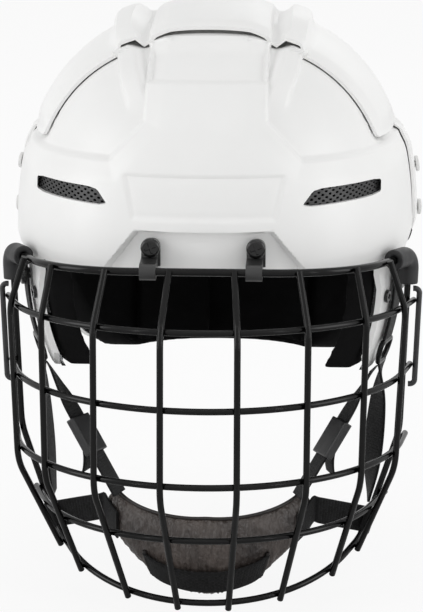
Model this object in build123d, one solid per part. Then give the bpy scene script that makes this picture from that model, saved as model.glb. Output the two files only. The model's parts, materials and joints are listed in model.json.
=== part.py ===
from build123d import *
from math import atan2, cos, radians, sin, sqrt
import os

# An ice hockey helmet with a full wire cage, in millimetres.
# The face looks along -Y, +X is the wearer's left, +Z is up.
# The origin is the middle of the head opening, level with the brow edge.

# Shell form: a rounded box on a rounded plan, set by its half axes
shell_half_width = 105.0
brow_depth = 121.0
nape_depth = 128.0
crown_height = 120.5
under_depth = 116.0
plan_power = 2.35
dome_power = 2.5
shell_wall = 2.5
shell_gap = 1.3
seat_gap = 0.3
running_gap = 0.08
overrun = 40.0

# Raised band and centre panel of the front shell
band_relief = 5.0
band_top = 57.0
band_edge = 5.0
shoulder_drop = 12.0
skirt_start = -12.0
skirt_fade = 20.0
panel_foot_half = 49.0
panel_waist_half = 31.0
panel_waist_height = 76.0
ridge_foot_half = 34.0
ridge_top_half = 46.0
ridge_start_height = 78.0
ridge_half_width = 8.0
ridge_relief = 4.5
hump_end_y = 40.0
hump_fade = 60.0
hump_relief = 4.0
hump_rise = 25.0
scoop_low = 93.0
scoop_half = 31.0
scoop_sink = 3.5
scoop_edge = 4.0
scoop_fade = 12.0
badge_low = 30.0
badge_high = 49.5
badge_half = 37.5
badge_sink = 1.2
badge_edge = 2.0
notch_top = 22.5
notch_half = 34.0
notch_foot_half = 52.0
notch_sink = 5.0
notch_edge = 4.0

# Split between the shells, and the size adjustment
seam_y = -58.0
seam_foot = 62.0
tongue_lap = 33.0
travel = 12.0
panel_front_y = 8.0
side_band_end_y = 34.0
side_band_low = -8.0
side_band_step = 52.0
nape_low = -80.0
nape_front_y = 66.0
nape_steps = 8

# Temple drop of the front shell
brow_edge_z = -1.0
drop_front_y = -76.0
drop_back_y = -34.0
drop_low = -66.0
drop_half_foot = 11.0
drop_round = 9.0

# Liner
foam_thick = 13.0
pad_thick = 12.0
liner_low = 3.0
liner_split_y = -28.0
guard_thick = 1.8
nape_pad_thick = 6.0
brow_pad_thick = 5.0
liner_front_y = -40.0
liner_back_y = 36.0
foam_gap = 1.0
liner_drop = 5.0
pad_inset = 2.0
nape_pad_high = -15.0

# Vents
vent_outer_x = 91.0
vent_inner_x = 56.5
vent_tip_x = 49.5
vent_high = 43.5
vent_tip_z = 34.0
vent_low = 35.4
vent_round = 2.2
mesh_thick = 1.4
mesh_lap = 3.0

# Cage wires
bar_size = 4.0
wire_size = 3.4
loop_size = 3.0
weld_sink = 0.08
hinge_y = -135.0
hinge_z = 4.0
bar_straight_half = 73.5
bar_corner_x = 106.9
bar_corner_y = -63.0
bar_bend = 62.0
bar_tilt = 0.07
corner_bend = 8.0
corner_back = 12.0
side_wire_x = 103.5
side_wire_z = -98.0
side_bend = 45.0
jaw_x = 84.0
jaw_y = -65.0
jaw_z = -157.5
jaw_bend = 14.0
foot_reach = 127.0
foot_radius = 85.0
foot_tilt = 0.306
foot_step = 41.3
foot_level = -176.5
brow_cross_reach = 160.0
brow_cross_radius = 108.0
brow_cross_level = -21.8
brow_cross_tilt = 0.04
jaw_cross_reach = 167.0
jaw_cross_radius = 105.0
jaw_cross_level = -100.3
nose_cross_level = -61.3
chin_cross_reach = 151.5
chin_cross_radius = 92.0
chin_cross_level = -133.8
lower_bend_level = -107.0
cross_stub = 1.5
nose_lift = 0.6
upright_top_x = (16.7, 48.6, 76.2, 93.0)
upright_brow_x = (18.5, 52.5, 81.2, 101.0)
upright_jaw_x = (18.8, 52.5, 79.7, 97.6)
upright_foot_x = (13.0, 39.2, 65.5, 79.0)
upright_bend = 22.0
stub_length = 3.0
top_stub = 1.5

# Side loops and rubber temple caps
loop_stand = 6.6
loop_high = -19.0
loop_low = -72.0
loop_bend = 2.5
cap_size = 11.0
cap_front = 9.0
cap_drop = 15.0

# Cage clips and their screws
clip_x = 27.0
clip_width = 9.6
clip_ply = 2.2
clip_screw_z = 14.5
clip_top_rise = 4.5
clip_screw_size = 4.8
clip_head_size = 10.0
clip_head_height = 3.2
clip_head_lift = 0.1
clip_nut_size = 7.0
clip_flange_size = 13.0
clip_flange_thick = 1.2
drive_width = 1.3
drive_length = 6.0
drive_depth = 1.4

# Size adjusters on the side panels
adjuster_y = 22.0
adjuster_low_z = 10.0
adjuster_high_z = 34.0
adjuster_size = 4.0
adjuster_head_size = 9.0
adjuster_head_height = 1.8
adjuster_lift = 1.0
adjuster_nut_size = 10.0
adjuster_nut_thick = 1.5

# Ear guards
guard_front_y = -64.5
guard_back_y = 31.0
guard_low = -70.0
guard_high = 2.7
guard_round = 22.0
guard_screw_size = 3.5
guard_head_size = 7.0
guard_head_height = 1.6
guard_screw_front_y = -60.0
guard_screw_front_z = -24.0
guard_screw_back_y = 0.5
guard_screw_back_z = -1.5

# Webbing, rings and chin cup
web_thick = 1.5
web_wide = 20.0
web_narrow = 15.0
web_snap = 16.0
snap_y = -48.0
snap_z = -16.0
snap_size = 12.0
snap_thick = 2.4
stud_size = 6.0
stud_height = 0.9
ring_wire = 3.0
ring_height = 14.0
ring_bar_z = -49.0
jaw_wrap_z = -147.0
wrap_turn_high = 76.0
wrap_turn_low = 60.0
sling_turn = 38.0
sling_band_share = (0.5, 0.65, 0.8)
jaw_turn = 68.0
cup_half_width = 58.0
cup_axis_y = -60.0
cup_reach = 46.0
cup_top = -139.0
cup_bottom = -187.0
cup_wing_top = -131.0
cup_wing_bottom = -148.0
cup_thick = 8.0
cup_turn = 78.0
cup_curl = 17.0
cup_steps = 12
slider_long = 22.0
slider_wide = 20.0
slider_thick = 5.0
slider_slot = 0.6
slider_share = 0.55

os.makedirs("parts", exist_ok=True)


def save(name, shape):
    if isinstance(shape, (list, tuple)):
        shape = Compound(children=list(shape))
    export_step(shape, f"parts/{name}.step")


def one(shape):
    return shape[0] if isinstance(shape, (list, tuple)) and len(shape) == 1 else shape


def ease(t):
    t = min(max(t, 0), 1)
    return t * t * (3 - 2 * t)


# The bare form is level at one; y is drawn forward over the tongue so the rear shell can slide.
def form_value(x, y, z):
    depth = brow_depth if y < 0 else nape_depth
    height = crown_height if z > 0 else under_depth
    plan = (abs(x) / shell_half_width) ** plan_power + (abs(y) / depth) ** plan_power
    return (plan ** (dome_power / plan_power) + (abs(z) / height) ** dome_power) ** (1 / dome_power)


def tongue_value(x, y, z):
    lowered = min(max(y - travel, seam_y), 0) if y < travel else y
    over = ease((z - band_top) / band_edge)
    kept = y if y < seam_y else y + (lowered - y) * over
    return form_value(x, kept, z)


def panel_inside(x, z):
    x = abs(x)
    rise, run = panel_waist_height - band_top, panel_foot_half - panel_waist_half
    slant = ((panel_foot_half - x) * rise + (band_top - z) * run) / sqrt(rise ** 2 + run ** 2)
    return max(band_top - z, panel_waist_half - x, slant)


def ridge_centre(z):
    share = (z - ridge_start_height) / (crown_height - ridge_start_height)
    return ridge_foot_half + (ridge_top_half - ridge_foot_half) * share


def shell_relief(x, y, z):
    inside = panel_inside(x, z)
    rise = (ease(inside / band_edge + 1 / 2) * 3 + ease(inside / shoulder_drop) * 2) / 5
    out = band_relief * rise * ease((z - skirt_start) / skirt_fade)
    if z > ridge_start_height:
        near = 1 - abs(abs(x) - ridge_centre(z)) / ridge_half_width
        grow = ease((z - ridge_start_height) / (crown_height - ridge_start_height) * 2)
        out = max(out, ridge_relief * grow * ease(near * 2) + out * (1 - ease(near * 2)))
    return out


def front_relief(x, y, z):
    out = shell_relief(x, y, z)
    if y < seam_y / 2:
        scoop = min(z - scoop_low, scoop_half - abs(x)) / scoop_edge
        out -= scoop_sink * ease(scoop) * ease((seam_y - y) / scoop_fade)
        badge = min(badge_high - z, z - badge_low, badge_half - abs(x)) / badge_edge
        out -= badge_sink * ease(badge)
        lean = (notch_foot_half - notch_half) / (notch_top - brow_edge_z)
        side = notch_half + (notch_top - z) * lean - abs(x)
        notch = min(notch_top - z, side) / notch_edge
        out -= min(notch_sink, out) * ease(notch + 1 / 2)
    return out


def rear_relief(x, y, z):
    out = shell_relief(x, y, z)
    if z > ridge_start_height:
        near = 1 - abs(abs(x) - ridge_centre(z)) / (ridge_half_width * 3 / 2)
        fade = ease((hump_end_y - y) / hump_fade)
        out += hump_relief * ease(near * 2) * fade * ease((z - ridge_start_height) / hump_rise)
    return out


# A row lies in a plane that turns about a line across the helmet, so each row is flat.
def row_point(centre, turn, tilt, value, relief, grow):
    way = (sin(turn), -cos(turn) * cos(tilt), cos(turn) * sin(tilt))
    near, far = 0, 4 * shell_half_width
    for _ in range(40):
        mid = (near + far) / 2
        spot = [c + mid * k for c, k in zip(centre, way)]
        near, far = (mid, far) if value(*spot) < 1 else (near, mid)
    spot = [c + near * k for c, k in zip(centre, way)]
    dip = seat_gap / 10
    slope = []
    for axis in range(3):
        ahead = [s + (dip if i == axis else 0) for i, s in enumerate(spot)]
        behind = [s - (dip if i == axis else 0) for i, s in enumerate(spot)]
        slope.append(value(*ahead) - value(*behind))
    size = sqrt(sum(k * k for k in slope))
    slope = [k / size for k in slope]
    across = (0, sin(tilt), cos(tilt))
    leak = sum(i * j for i, j in zip(slope, across))
    flat = [i - leak * j for i, j in zip(slope, across)]
    pull = (relief(*spot) + grow) / max(sum(k * k for k in flat), 1 / 4)
    return Vector(*[s + pull * k for s, k in zip(spot, flat)])


def row_wire(centre, turns, tilt, value, relief, top, under):
    outer = [row_point(centre, turn, tilt, value, relief, top) for turn in turns]
    inner = [row_point(centre, turn, tilt, value, relief, under) for turn in turns]
    edges = [Spline(*outer).edge(), Line(outer[-1], inner[-1]).edge()]
    edges += [Spline(*reversed(inner)).edge(), Line(inner[0], outer[0]).edge()]
    return Wire(edges)


def skin(centre, turns, tilts, value, relief, top, under):
    rows = [row_wire(centre, turns, tilt, value, relief, top, under) for tilt in tilts]
    return Solid.make_loft(rows, ruled=True)


def both_ways(half):
    return [-k for k in reversed(half)] + [0] + list(half)


def side_prism(points, low_x=None, high_x=None):
    outline = make_face(Plane.YZ * Polyline(*points, close=True))
    low = -shell_half_width - overrun if low_x is None else low_x
    high = shell_half_width + overrun if high_x is None else high_x
    return Pos(low, 0, 0) * extrude(outline, high - low)


fine_turns = [radians(k) for k in (2, 4, 6, 7.5, 9, 10.5, 12, 13.5, 15, 17, 19, 22, 25, 28, 32, 37,
                                   42, 48, 54, 60, 66, 72, 78)]
# How many of these rows the pads and foam share with the shells
side_turns, side_tilts = 12, 24
liner_tilt, pad_tilt, pad_turns = 5, 25, 13
rear_foam_tilt, nape_pad_turns, nape_pad_tilts = 2, 8, 10
mesh_turn, mesh_turn_end, mesh_tilt, mesh_tilt_end = 6, 5, 9, 19
front_centre = (0, 60.0, band_top)
front_tilts = [radians(k) for k in (-70, -62, -54, -47, -41, -35, -30, -25, -21, -18, -15.5, -13.5,
                                    -11.5, -10, -8, -6, -4, -2.5, -1.2, 0, 1, 2, 4, 6, 8.5, 11, 14,
                                    17, 20, 23, 26, 29, 32, 35, 38, 42)]
rear_centre = (0, -10.0, -10.0)
rear_tilts = [radians(k) for k in range(57, 237, 5)]
rear_turns = [radians(k) for k in (4, 8, 12, 15, 18, 21, 24, 27, 30, 34, 38, 43, 48, 54, 60, 66, 72, 77)]


# Where the shell's outside is, straight out to the side or straight ahead
def side_x(y, z, grow=0.0):
    near, far = 0, 2 * shell_half_width
    for _ in range(40):
        mid = (near + far) / 2
        near, far = (mid, far) if form_value(mid, y, z) < 1 else (near, mid)
    return near + shell_relief(near, y, z) + grow


def front_y(x, z, relief=front_relief):
    near, far = 0, 2 * brow_depth
    for _ in range(40):
        mid = (near + far) / 2
        near, far = (mid, far) if form_value(x, -mid, z) < 1 else (near, mid)
    return -near - relief(x, -near, z)


def front_outline():
    far_front = -brow_depth - overrun
    top = crown_height + overrun
    tongue_back = seam_y + tongue_lap
    return [(far_front, brow_edge_z), (drop_front_y, brow_edge_z),
            (drop_front_y + drop_round, brow_edge_z - drop_round * 2),
            (drop_front_y + drop_half_foot, drop_low + drop_round),
            (drop_front_y + drop_half_foot * 2, drop_low),
            (drop_back_y - drop_half_foot, drop_low),
            (drop_back_y - drop_round / 2, drop_low + drop_round),
            (drop_back_y, side_band_low - drop_half_foot * 2),
            (drop_back_y + drop_round, side_band_low - drop_round / 2),
            (drop_back_y + drop_round * 2, side_band_low),
            (side_band_end_y, side_band_low), (side_band_end_y, side_band_step),
            (tongue_back, seam_foot + band_edge), (tongue_back, top), (far_front, top)]


def nape_curve(drop):
    start_y, start_z = side_band_end_y + travel, side_band_low - band_edge
    points = []
    for k in range(nape_steps + 1):
        turn = radians(90 * k / nape_steps)
        points.append((start_y + (nape_front_y - start_y) * (1 - cos(turn)),
                       start_z + (nape_low - start_z) * sin(turn) - drop * k / nape_steps))
    return points + [(nape_depth + overrun, nape_low - drop)]


def rear_outline():
    top = crown_height + overrun * 2
    return [(seam_y, seam_foot), (panel_front_y - band_edge, seam_foot),
            (panel_front_y, seam_foot - band_edge), (panel_front_y, side_band_low), *nape_curve(0),
            (nape_depth + overrun, top), (seam_y, top)]


def vent_outline(side, grow):
    points = [(vent_outer_x + grow, vent_high + grow), (vent_inner_x - grow, vent_high - 1 / 2 + grow),
              (vent_tip_x - grow, vent_tip_z - grow), (vent_outer_x + grow, vent_low - grow)]
    face = make_face(Plane.XZ * Polyline(*[(side * x, z) for x, z in points], close=True))
    face = fillet(face.vertices(), vent_round)
    return extrude(face, brow_depth + overrun, dir=(0, -1, 0))


def clip_hole(side, size):
    return Pos(side * clip_x, -brow_depth, clip_screw_z) * (Rot(90, 0, 0) * Cylinder(size / 2, overrun))


def adjuster_places():
    levels = (adjuster_low_z, adjuster_high_z)
    return [(side, side_plane(side, adjuster_y, z)) for side in (-1, 1) for z in levels]


def guard_places():
    spots = ((guard_screw_front_y, guard_screw_front_z), (guard_screw_back_y, guard_screw_back_z))
    return [(side, side_plane(side, y, z)) for side in (-1, 1) for y, z in spots]


def side_plane(side, y, z, lift=0.0):
    reach = band_edge
    x = side_x(y, z)
    lean_y = (side_x(y + reach, z) - side_x(y - reach, z)) / (reach * 2)
    lean_z = (side_x(y, z + reach) - side_x(y, z - reach)) / (reach * 2)
    out = Vector(side, -lean_y, -lean_z).normalized()
    return Plane(origin=Vector(side * x, y, z) + out * lift, x_dir=(side * lean_y, 1, 0), z_dir=out)


def side_pin(plane, size, top, under):
    pin = Cylinder(size / 2, top - under, align=(Align.CENTER, Align.CENTER, Align.MIN))
    return plane * (Pos(0, 0, under) * pin)


def front_shell():
    shell = skin(front_centre, both_ways(fine_turns), front_tilts, tongue_value, front_relief,
                 0, -shell_wall)
    shell = one(shell & side_prism(front_outline()))
    for side in (-1, 1):
        shell = shell - vent_outline(side, 0) - clip_hole(side, clip_screw_size + seat_gap * 2)
    for side, plane in adjuster_places():
        shell -= side_pin(plane, adjuster_size + seat_gap * 2, overrun / 4, -overrun / 4)
    for side, plane in guard_places():
        shell -= side_pin(plane, guard_screw_size + seat_gap * 2, overrun / 4, -overrun / 4)
    return shell


def rear_shell():
    lift = shell_gap + shell_wall
    shell = skin(rear_centre, both_ways(rear_turns), rear_tilts, form_value, rear_relief,
                 lift, shell_gap)
    shell = one(shell & side_prism(rear_outline()))
    for side, plane in adjuster_places():
        slot = Pos(-travel / 2, 0) * SlotCenterToCenter(travel, adjuster_size + seat_gap * 2)
        shell -= plane * (Pos(0, 0, -overrun / 4) * extrude(slot, overrun / 2))
    return shell


def side_skin(side, points, top, under):
    turns = fine_turns[-side_turns:]
    turns = turns if side > 0 else [-k for k in reversed(turns)]
    solid = skin(front_centre, turns, front_tilts[:side_tilts], form_value, shell_relief, top, under)
    return one(solid & side_prism(points))


def foam_top():
    return -shell_wall - seat_gap


def front_liner():
    low_y, top = -brow_depth - overrun, crown_height + overrun
    points = [(low_y, liner_low), (liner_front_y, liner_low), (liner_front_y, band_top),
              (liner_split_y, band_top + foam_thick), (liner_split_y, top), (low_y, top)]
    foam = skin(front_centre, both_ways(fine_turns), front_tilts[liner_tilt:], tongue_value,
                front_relief, foam_top(), foam_top() - foam_thick)
    foam = one(foam & side_prism(points))
    for side in (-1, 1):
        foam = foam - vent_outline(side, mesh_lap + foam_gap) - clip_hole(side, clip_flange_size + seat_gap * 2)
    return foam


def brow_pad():
    low_y, back_y = -brow_depth - overrun, seam_y - overrun / 2
    points = [(low_y, liner_low + seat_gap), (back_y, liner_low + seat_gap),
              (back_y, badge_high), (low_y, badge_high)]
    top = foam_top() - foam_thick - seat_gap
    pad = skin(front_centre, both_ways(fine_turns[:pad_turns]), front_tilts[liner_tilt:pad_tilt], form_value,
               front_relief, top, top - brow_pad_thick)
    return one(pad & side_prism(points))


def rear_liner():
    top_out, high = shell_gap - seat_gap, crown_height + overrun
    start_y = seam_y + tongue_lap + foam_gap
    points = [(start_y, seam_foot + band_edge + foam_gap), (liner_back_y, side_band_step + foam_gap * 2),
              (liner_back_y, side_band_low), *nape_curve(liner_drop),
              (nape_depth + overrun, high), (start_y, high)]
    foam = skin(rear_centre, both_ways(rear_turns), rear_tilts[rear_foam_tilt:],
                form_value, shell_relief, top_out, top_out - foam_thick)
    return one(foam & side_prism(points))


def nape_pads():
    top = shell_gap - seat_gap * 2 - foam_thick
    front = nape_front_y - overrun
    points = [(front, nape_low), (nape_depth + overrun, nape_low),
              (nape_depth + overrun, nape_pad_high), (front, nape_pad_high)]
    pads = []
    for side in (-1, 1):
        turns = sorted([k * side for k in rear_turns[:nape_pad_turns]])
        pad = skin(rear_centre, turns, rear_tilts[-nape_pad_tilts:], form_value, shell_relief,
                   top, top - nape_pad_thick)
        pads.append(one(pad & side_prism(points)))
    return pads


def temple_pad(side):
    top = foam_top() - guard_thick - seat_gap
    points = [(drop_front_y + drop_half_foot + pad_inset, drop_low + pad_inset),
              (drop_back_y - pad_inset, drop_low + pad_inset), (drop_back_y, liner_low - seat_gap),
              (drop_front_y + drop_half_foot / 2, liner_low - seat_gap)]
    return side_skin(side, points, top, top - pad_thick)


def side_liner(side):
    points = [(liner_front_y + foam_gap, liner_low), (liner_back_y - foam_gap, liner_low),
              (liner_back_y - foam_gap, side_band_step - foam_gap),
              (liner_front_y + foam_gap, side_band_step - foam_gap)]
    foam = side_skin(side, points, foam_top(), foam_top() - foam_thick)
    for place, plane in adjuster_places():
        if place == side:
            foam -= side_pin(plane, adjuster_nut_size + seat_gap * 2, overrun / 8,
                             -shell_wall - adjuster_nut_thick - seat_gap * 4)
    return foam


def vent_mesh(side):
    turns = fine_turns[mesh_turn:-mesh_turn_end]
    turns = turns if side > 0 else [-k for k in reversed(turns)]
    plate = skin(front_centre, turns, front_tilts[mesh_tilt:mesh_tilt_end], form_value, front_relief,
                 foam_top(), foam_top() - mesh_thick)
    return one(plate & vent_outline(side, mesh_lap))


def ear_guard(side):
    points = [(guard_front_y, guard_high), (guard_front_y, guard_low / 2), (guard_front_y + guard_round, guard_low),
              (guard_back_y - guard_round * 2, guard_low), (guard_back_y - guard_round / 2, guard_low / 2),
              (guard_back_y, guard_high)]
    guard = side_skin(side, points, foam_top(), foam_top() - guard_thick)
    for place, plane in guard_places():
        if place == side:
            guard -= side_pin(plane, guard_screw_size + seat_gap * 2, overrun / 4, -overrun / 4)
    return guard


def side_screw(plane, size, head_size, head_height, seat, end):
    screw = Pos(0, 0, seat) * Cylinder(head_size / 2, head_height, align=(Align.CENTER, Align.CENTER, Align.MIN))
    screw = fillet(screw.edges().group_by(Axis.Z)[-1], head_height / 2)
    screw += Pos(0, 0, end) * Cylinder(size / 2, seat - end, align=(Align.CENTER, Align.CENTER, Align.MIN))
    for turn in (20, 110):
        screw -= Rot(0, 0, turn) * (Pos(0, 0, seat + head_height) * Box(head_size / 2, drive_width, head_height))
    return plane * screw


def guard_screws():
    end = -shell_wall - seat_gap - guard_thick
    return [side_screw(plane, guard_screw_size, guard_head_size, guard_head_height, seat_gap, end)
            for side, plane in guard_places()]


def adjuster_screws():
    seat = shell_gap + shell_wall + adjuster_lift
    end = -shell_wall - seat_gap * 2 - adjuster_nut_thick
    return [side_screw(plane, adjuster_size, adjuster_head_size, adjuster_head_height, seat, end)
            for side, plane in adjuster_places()]


def adjuster_nuts():
    top = -shell_wall - seat_gap * 2
    nuts = []
    for side, plane in adjuster_places():
        nut = side_pin(plane, adjuster_nut_size, top, top - adjuster_nut_thick)
        nuts.append(nut - side_pin(plane, adjuster_size + running_gap * 2, overrun / 8, -overrun / 8))
    return nuts


# Cage wires: each cross wire is an arc seen from above, in a plane that tips a little
def plan_y(x, reach, radius):
    return -reach + radius - sqrt(radius ** 2 - x ** 2)


def top_bar_y(x):
    x = abs(x)
    turn = atan2(bar_corner_y - hinge_y, bar_corner_x - bar_straight_half)
    bend_x = bar_straight_half - bar_bend * (1 - cos(turn)) / sin(turn)
    if x <= bend_x:
        return hinge_y
    if x <= bend_x + bar_bend * sin(turn):
        return hinge_y + bar_bend - sqrt(bar_bend ** 2 - (x - bend_x) ** 2)
    return bar_corner_y - (bar_corner_x - x) * sin(turn) / cos(turn)


def top_bar_z(y):
    return hinge_z - (y - hinge_y) * bar_tilt


def foot_z(y):
    return foot_level + (y + foot_reach) * foot_tilt


def tube(edges, size):
    path = Wire([piece.edge() for piece in edges])
    start = Plane(origin=path @ 0, z_dir=path % 0)
    return sweep(start * Circle(size / 2), path=path)


def wire(points, radii, size):
    path = FilletPolyline(*points, radius=radii)
    start = Plane(origin=path @ 0, z_dir=path % 0)
    return sweep(start * Circle(size / 2), path=path)


def mirror_points(points):
    return [(-x, y, z) for x, y, z in reversed(points)]


def corner_start():
    turn = atan2(bar_corner_y - hinge_y, bar_corner_x - bar_straight_half)
    x, y = bar_corner_x - corner_back * cos(turn), bar_corner_y - corner_back * sin(turn)
    return x, y, top_bar_z(y)


def cage_top_bar():
    half = [(bar_straight_half, hinge_y, hinge_z), corner_start()]
    return wire(mirror_points(half) + half, [bar_bend, bar_bend], bar_size)


def corner_point():
    return bar_corner_x, bar_corner_y, top_bar_z(bar_corner_y)


def rim_half():
    side = foot_radius / cos(radians(foot_step / 2))
    far = [(side * sin(radians(foot_step)), -foot_reach + foot_radius - side * cos(radians(foot_step)))]
    points = [(x, y, foot_z(y)) for x, y in far]
    points += [(jaw_x, jaw_y, jaw_z), (side_wire_x, bar_corner_y, side_wire_z), corner_point(), corner_start()]
    return points


def cage_rim_wire():
    half = rim_half()
    front = -foot_reach + foot_radius - foot_radius / cos(radians(foot_step / 2))
    points = mirror_points(half) + [(0, front, foot_z(front))] + half
    radii = [foot_radius, jaw_bend, side_bend, corner_bend]
    return wire(points, list(reversed(radii)) + [foot_radius] + radii, wire_size)


def cross_plans():
    share = (brow_cross_level - nose_cross_level) / (brow_cross_level - jaw_cross_level)
    nose_reach = brow_cross_reach + (jaw_cross_reach - brow_cross_reach) * share + nose_lift
    nose_radius = brow_cross_radius + (jaw_cross_radius - brow_cross_radius) * share
    return ((brow_cross_reach, brow_cross_radius, brow_cross_level, brow_cross_tilt),
            (nose_reach, nose_radius, nose_cross_level, 0),
            (jaw_cross_reach, jaw_cross_radius, jaw_cross_level, 0),
            (chin_cross_reach, chin_cross_radius, chin_cross_level, 0))


def cross_z(y, plan):
    reach, radius, level, tilt = plan
    return level - (y + reach) * tilt


# The arc stops where a straight tail just lies against the outside of the rim wire
def cage_cross_wire(plan):
    reach, radius, level, tilt = plan
    middle = -reach + radius
    weld_z = cross_z(bar_corner_y, plan)
    lean = (rim_x(weld_z + 1) - rim_x(weld_z - 1)) / 2
    weld_x = rim_x(weld_z) + (wire_size - weld_sink) * sqrt(1 + lean ** 2)
    near, far = radians(60), radians(88)
    for _ in range(40):
        turn = (near + far) / 2
        end = (radius + (rim_y(weld_z) - middle) * cos(turn)) / sin(turn)
        near, far = (turn, far) if end > weld_x else (near, turn)
    side_x, side_y = radius * sin(turn), middle - radius * cos(turn)
    tail_y = bar_corner_y + cross_stub
    tail_x = side_x + (tail_y - side_y) * cos(turn) / sin(turn)
    left, tail = (side_x, side_y, cross_z(side_y, plan)), (tail_x, tail_y, cross_z(tail_y, plan))
    right, far = mirror_points([left])[0], mirror_points([tail])[0]
    return tube([Line(far, right), ThreePointArc(right, (0, -reach, level), left), Line(left, tail)], wire_size)


def foot_y(x):
    far = foot_radius / cos(radians(foot_step / 2))
    start_x, start_y = far * sin(radians(foot_step)), -foot_reach + foot_radius - far * cos(radians(foot_step))
    if x < foot_radius * sin(radians(foot_step * 3 / 2)):
        return plan_y(x, foot_reach, foot_radius)
    return start_y + (x - start_x) * (jaw_y - start_y) / (jaw_x - start_x)


# A point beside a wire, so that another wire passing that way just touches it
def beside(curve, height, x, gap, way):
    ahead, behind, spot = [Vector(k, curve(k), height(curve(k))) for k in (x + seat_gap, x - seat_gap, x)]
    run = (ahead - behind).normalized()
    across = Vector(run.Y, -run.X, 0).normalized()
    facing = way.cross(run).normalized()
    return spot + across * (gap / abs(across.dot(facing)))


def upright_points(which):
    brow, nose, jaw, chin = cross_plans()
    gap = wire_size - weld_sink
    ways = [Vector(0, 0, -1)] * 3
    for _ in range(4):
        half = ways[0].get_angle(ways[1]) / 2
        sag = upright_bend * (1 / cos(radians(half)) - 1)
        top = beside(top_bar_y, top_bar_z, upright_top_x[which], gap + (bar_size - wire_size) / 2, ways[0])
        bend = beside(lambda x: plan_y(x, brow[0], brow[1]), lambda y: cross_z(y, brow),
                      upright_brow_x[which], gap + sag, (ways[0] + ways[1]).normalized())
        weld = beside(lambda x: plan_y(x, jaw[0], jaw[1]), lambda y: cross_z(y, jaw),
                      upright_jaw_x[which], gap, ways[1])
        turn = bend + (weld - bend) * ((bend.Z - lower_bend_level) / (bend.Z - weld.Z))
        foot = beside(foot_y, foot_z, upright_foot_x[which], gap, ways[2])
        ways = [(b - a).normalized() for a, b in ((top, bend), (bend, turn), (turn, foot))]
    return [top - ways[0] * top_stub, bend, turn, foot + ways[2] * stub_length]


def cage_upright(side, which):
    points = [(side * spot.X, spot.Y, spot.Z) for spot in upright_points(which)]
    return wire(points, [upright_bend, upright_bend], wire_size)


def cage_side_loop(side):
    top, foot = rim_x(loop_high), rim_x(loop_low)
    grip = (wire_size + loop_size) / 2 - weld_sink
    points = [(top + grip, bar_corner_y, loop_high), (top + loop_stand, bar_corner_y, loop_high),
              (foot + loop_stand, bar_corner_y, loop_low), (foot + grip, bar_corner_y, loop_low)]
    points = [(side * x, y, z) for x, y, z in points]
    return wire(points, [loop_bend, loop_bend], loop_size)


def rim_x(z):
    top_x, top_z = bar_corner_x, top_bar_z(bar_corner_y)
    if z > side_wire_z:
        return side_wire_x + (top_x - side_wire_x) * (z - side_wire_z) / (top_z - side_wire_z)
    return jaw_x + (side_wire_x - jaw_x) * (z - jaw_z) / (side_wire_z - jaw_z)


def rim_y(z):
    if z > side_wire_z:
        return bar_corner_y
    return jaw_y + (bar_corner_y - jaw_y) * (z - jaw_z) / (side_wire_z - jaw_z)


def temple_cap(side):
    corner, start = Vector(*corner_point()), Vector(*corner_start())
    low = Vector(rim_x(corner.Z - cap_drop), rim_y(corner.Z - cap_drop), corner.Z - cap_drop)
    front = corner + (start - corner).normalized() * (corner_back + cap_front)
    points = [(side * p.X, p.Y, p.Z) for p in (front, corner, low)]
    cap = wire(points, [corner_bend], cap_size)
    return cap - wire(points, [corner_bend], bar_size + running_gap * 2)


# Clips that hold the top bar to the brow, and let it turn
def clip_seat_y():
    return front_y(clip_x - clip_width / 2, clip_screw_z) - seat_gap


def cage_clip(side):
    seat, outer = clip_seat_y(), bar_size / 2 + running_gap + clip_ply
    front, back = seat - clip_ply * 2, seat + clip_ply * 2
    top, step = clip_screw_z + clip_top_rise, clip_screw_z - clip_head_size / 2 - seat_gap
    body = make_face(Polyline((hinge_y, hinge_z - outer), (back, hinge_z - clip_ply / 2), (back, top),
                              (front, top), (front, step), (hinge_y, hinge_z + outer), close=True))
    body = body + Pos(hinge_y, hinge_z) * Circle(outer) - Pos(hinge_y, hinge_z) * Circle(outer - clip_ply)
    body -= make_face(Polyline((hinge_y + outer, hinge_z - clip_ply / 2), (front, hinge_z),
                               (front, hinge_z + clip_ply / 2), (hinge_y + outer, hinge_z + clip_ply / 2),
                               close=True))
    clip = Pos(side * clip_x - clip_width / 2, 0, 0) * extrude(Plane.YZ * body, clip_width)
    turns = [radians(k) * side for k in (4, 6, 7.5, 9, 10.5, 12, 13.5)]
    tilts = [radians(k) for k in (-30, -25, -21, -18, -15.5, -13.5, -11.5, -10)]
    bed = skin(front_centre, sorted(turns), tilts, form_value, front_relief, seat_gap, -overrun / 2)
    return clip - bed - clip_hole(side, clip_screw_size + running_gap * 2)


def cage_clip_screws():
    screws = []
    seat = clip_seat_y() - clip_ply * 2 - clip_head_lift
    shank_end = front_y(clip_x, clip_screw_z) + shell_wall + clip_flange_thick * 4
    for side in (-1, 1):
        spot = Pos(side * clip_x, seat, clip_screw_z) * Rot(90, 0, 0)
        head = Cylinder(clip_head_size / 2, clip_head_height, align=(Align.CENTER, Align.CENTER, Align.MIN))
        head = fillet(head.edges().group_by(Axis.Z)[-1], clip_head_height / 2)
        for turn in (0, 90):
            head -= Rot(0, 0, turn + 20) * (Pos(0, 0, clip_head_height) * Box(
                drive_length, drive_width, drive_depth * 2))
        shank = Cylinder(clip_screw_size / 2, shank_end - seat,
                         align=(Align.CENTER, Align.CENTER, Align.MAX))
        screws.append(spot * (head + shank))
    return screws


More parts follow.
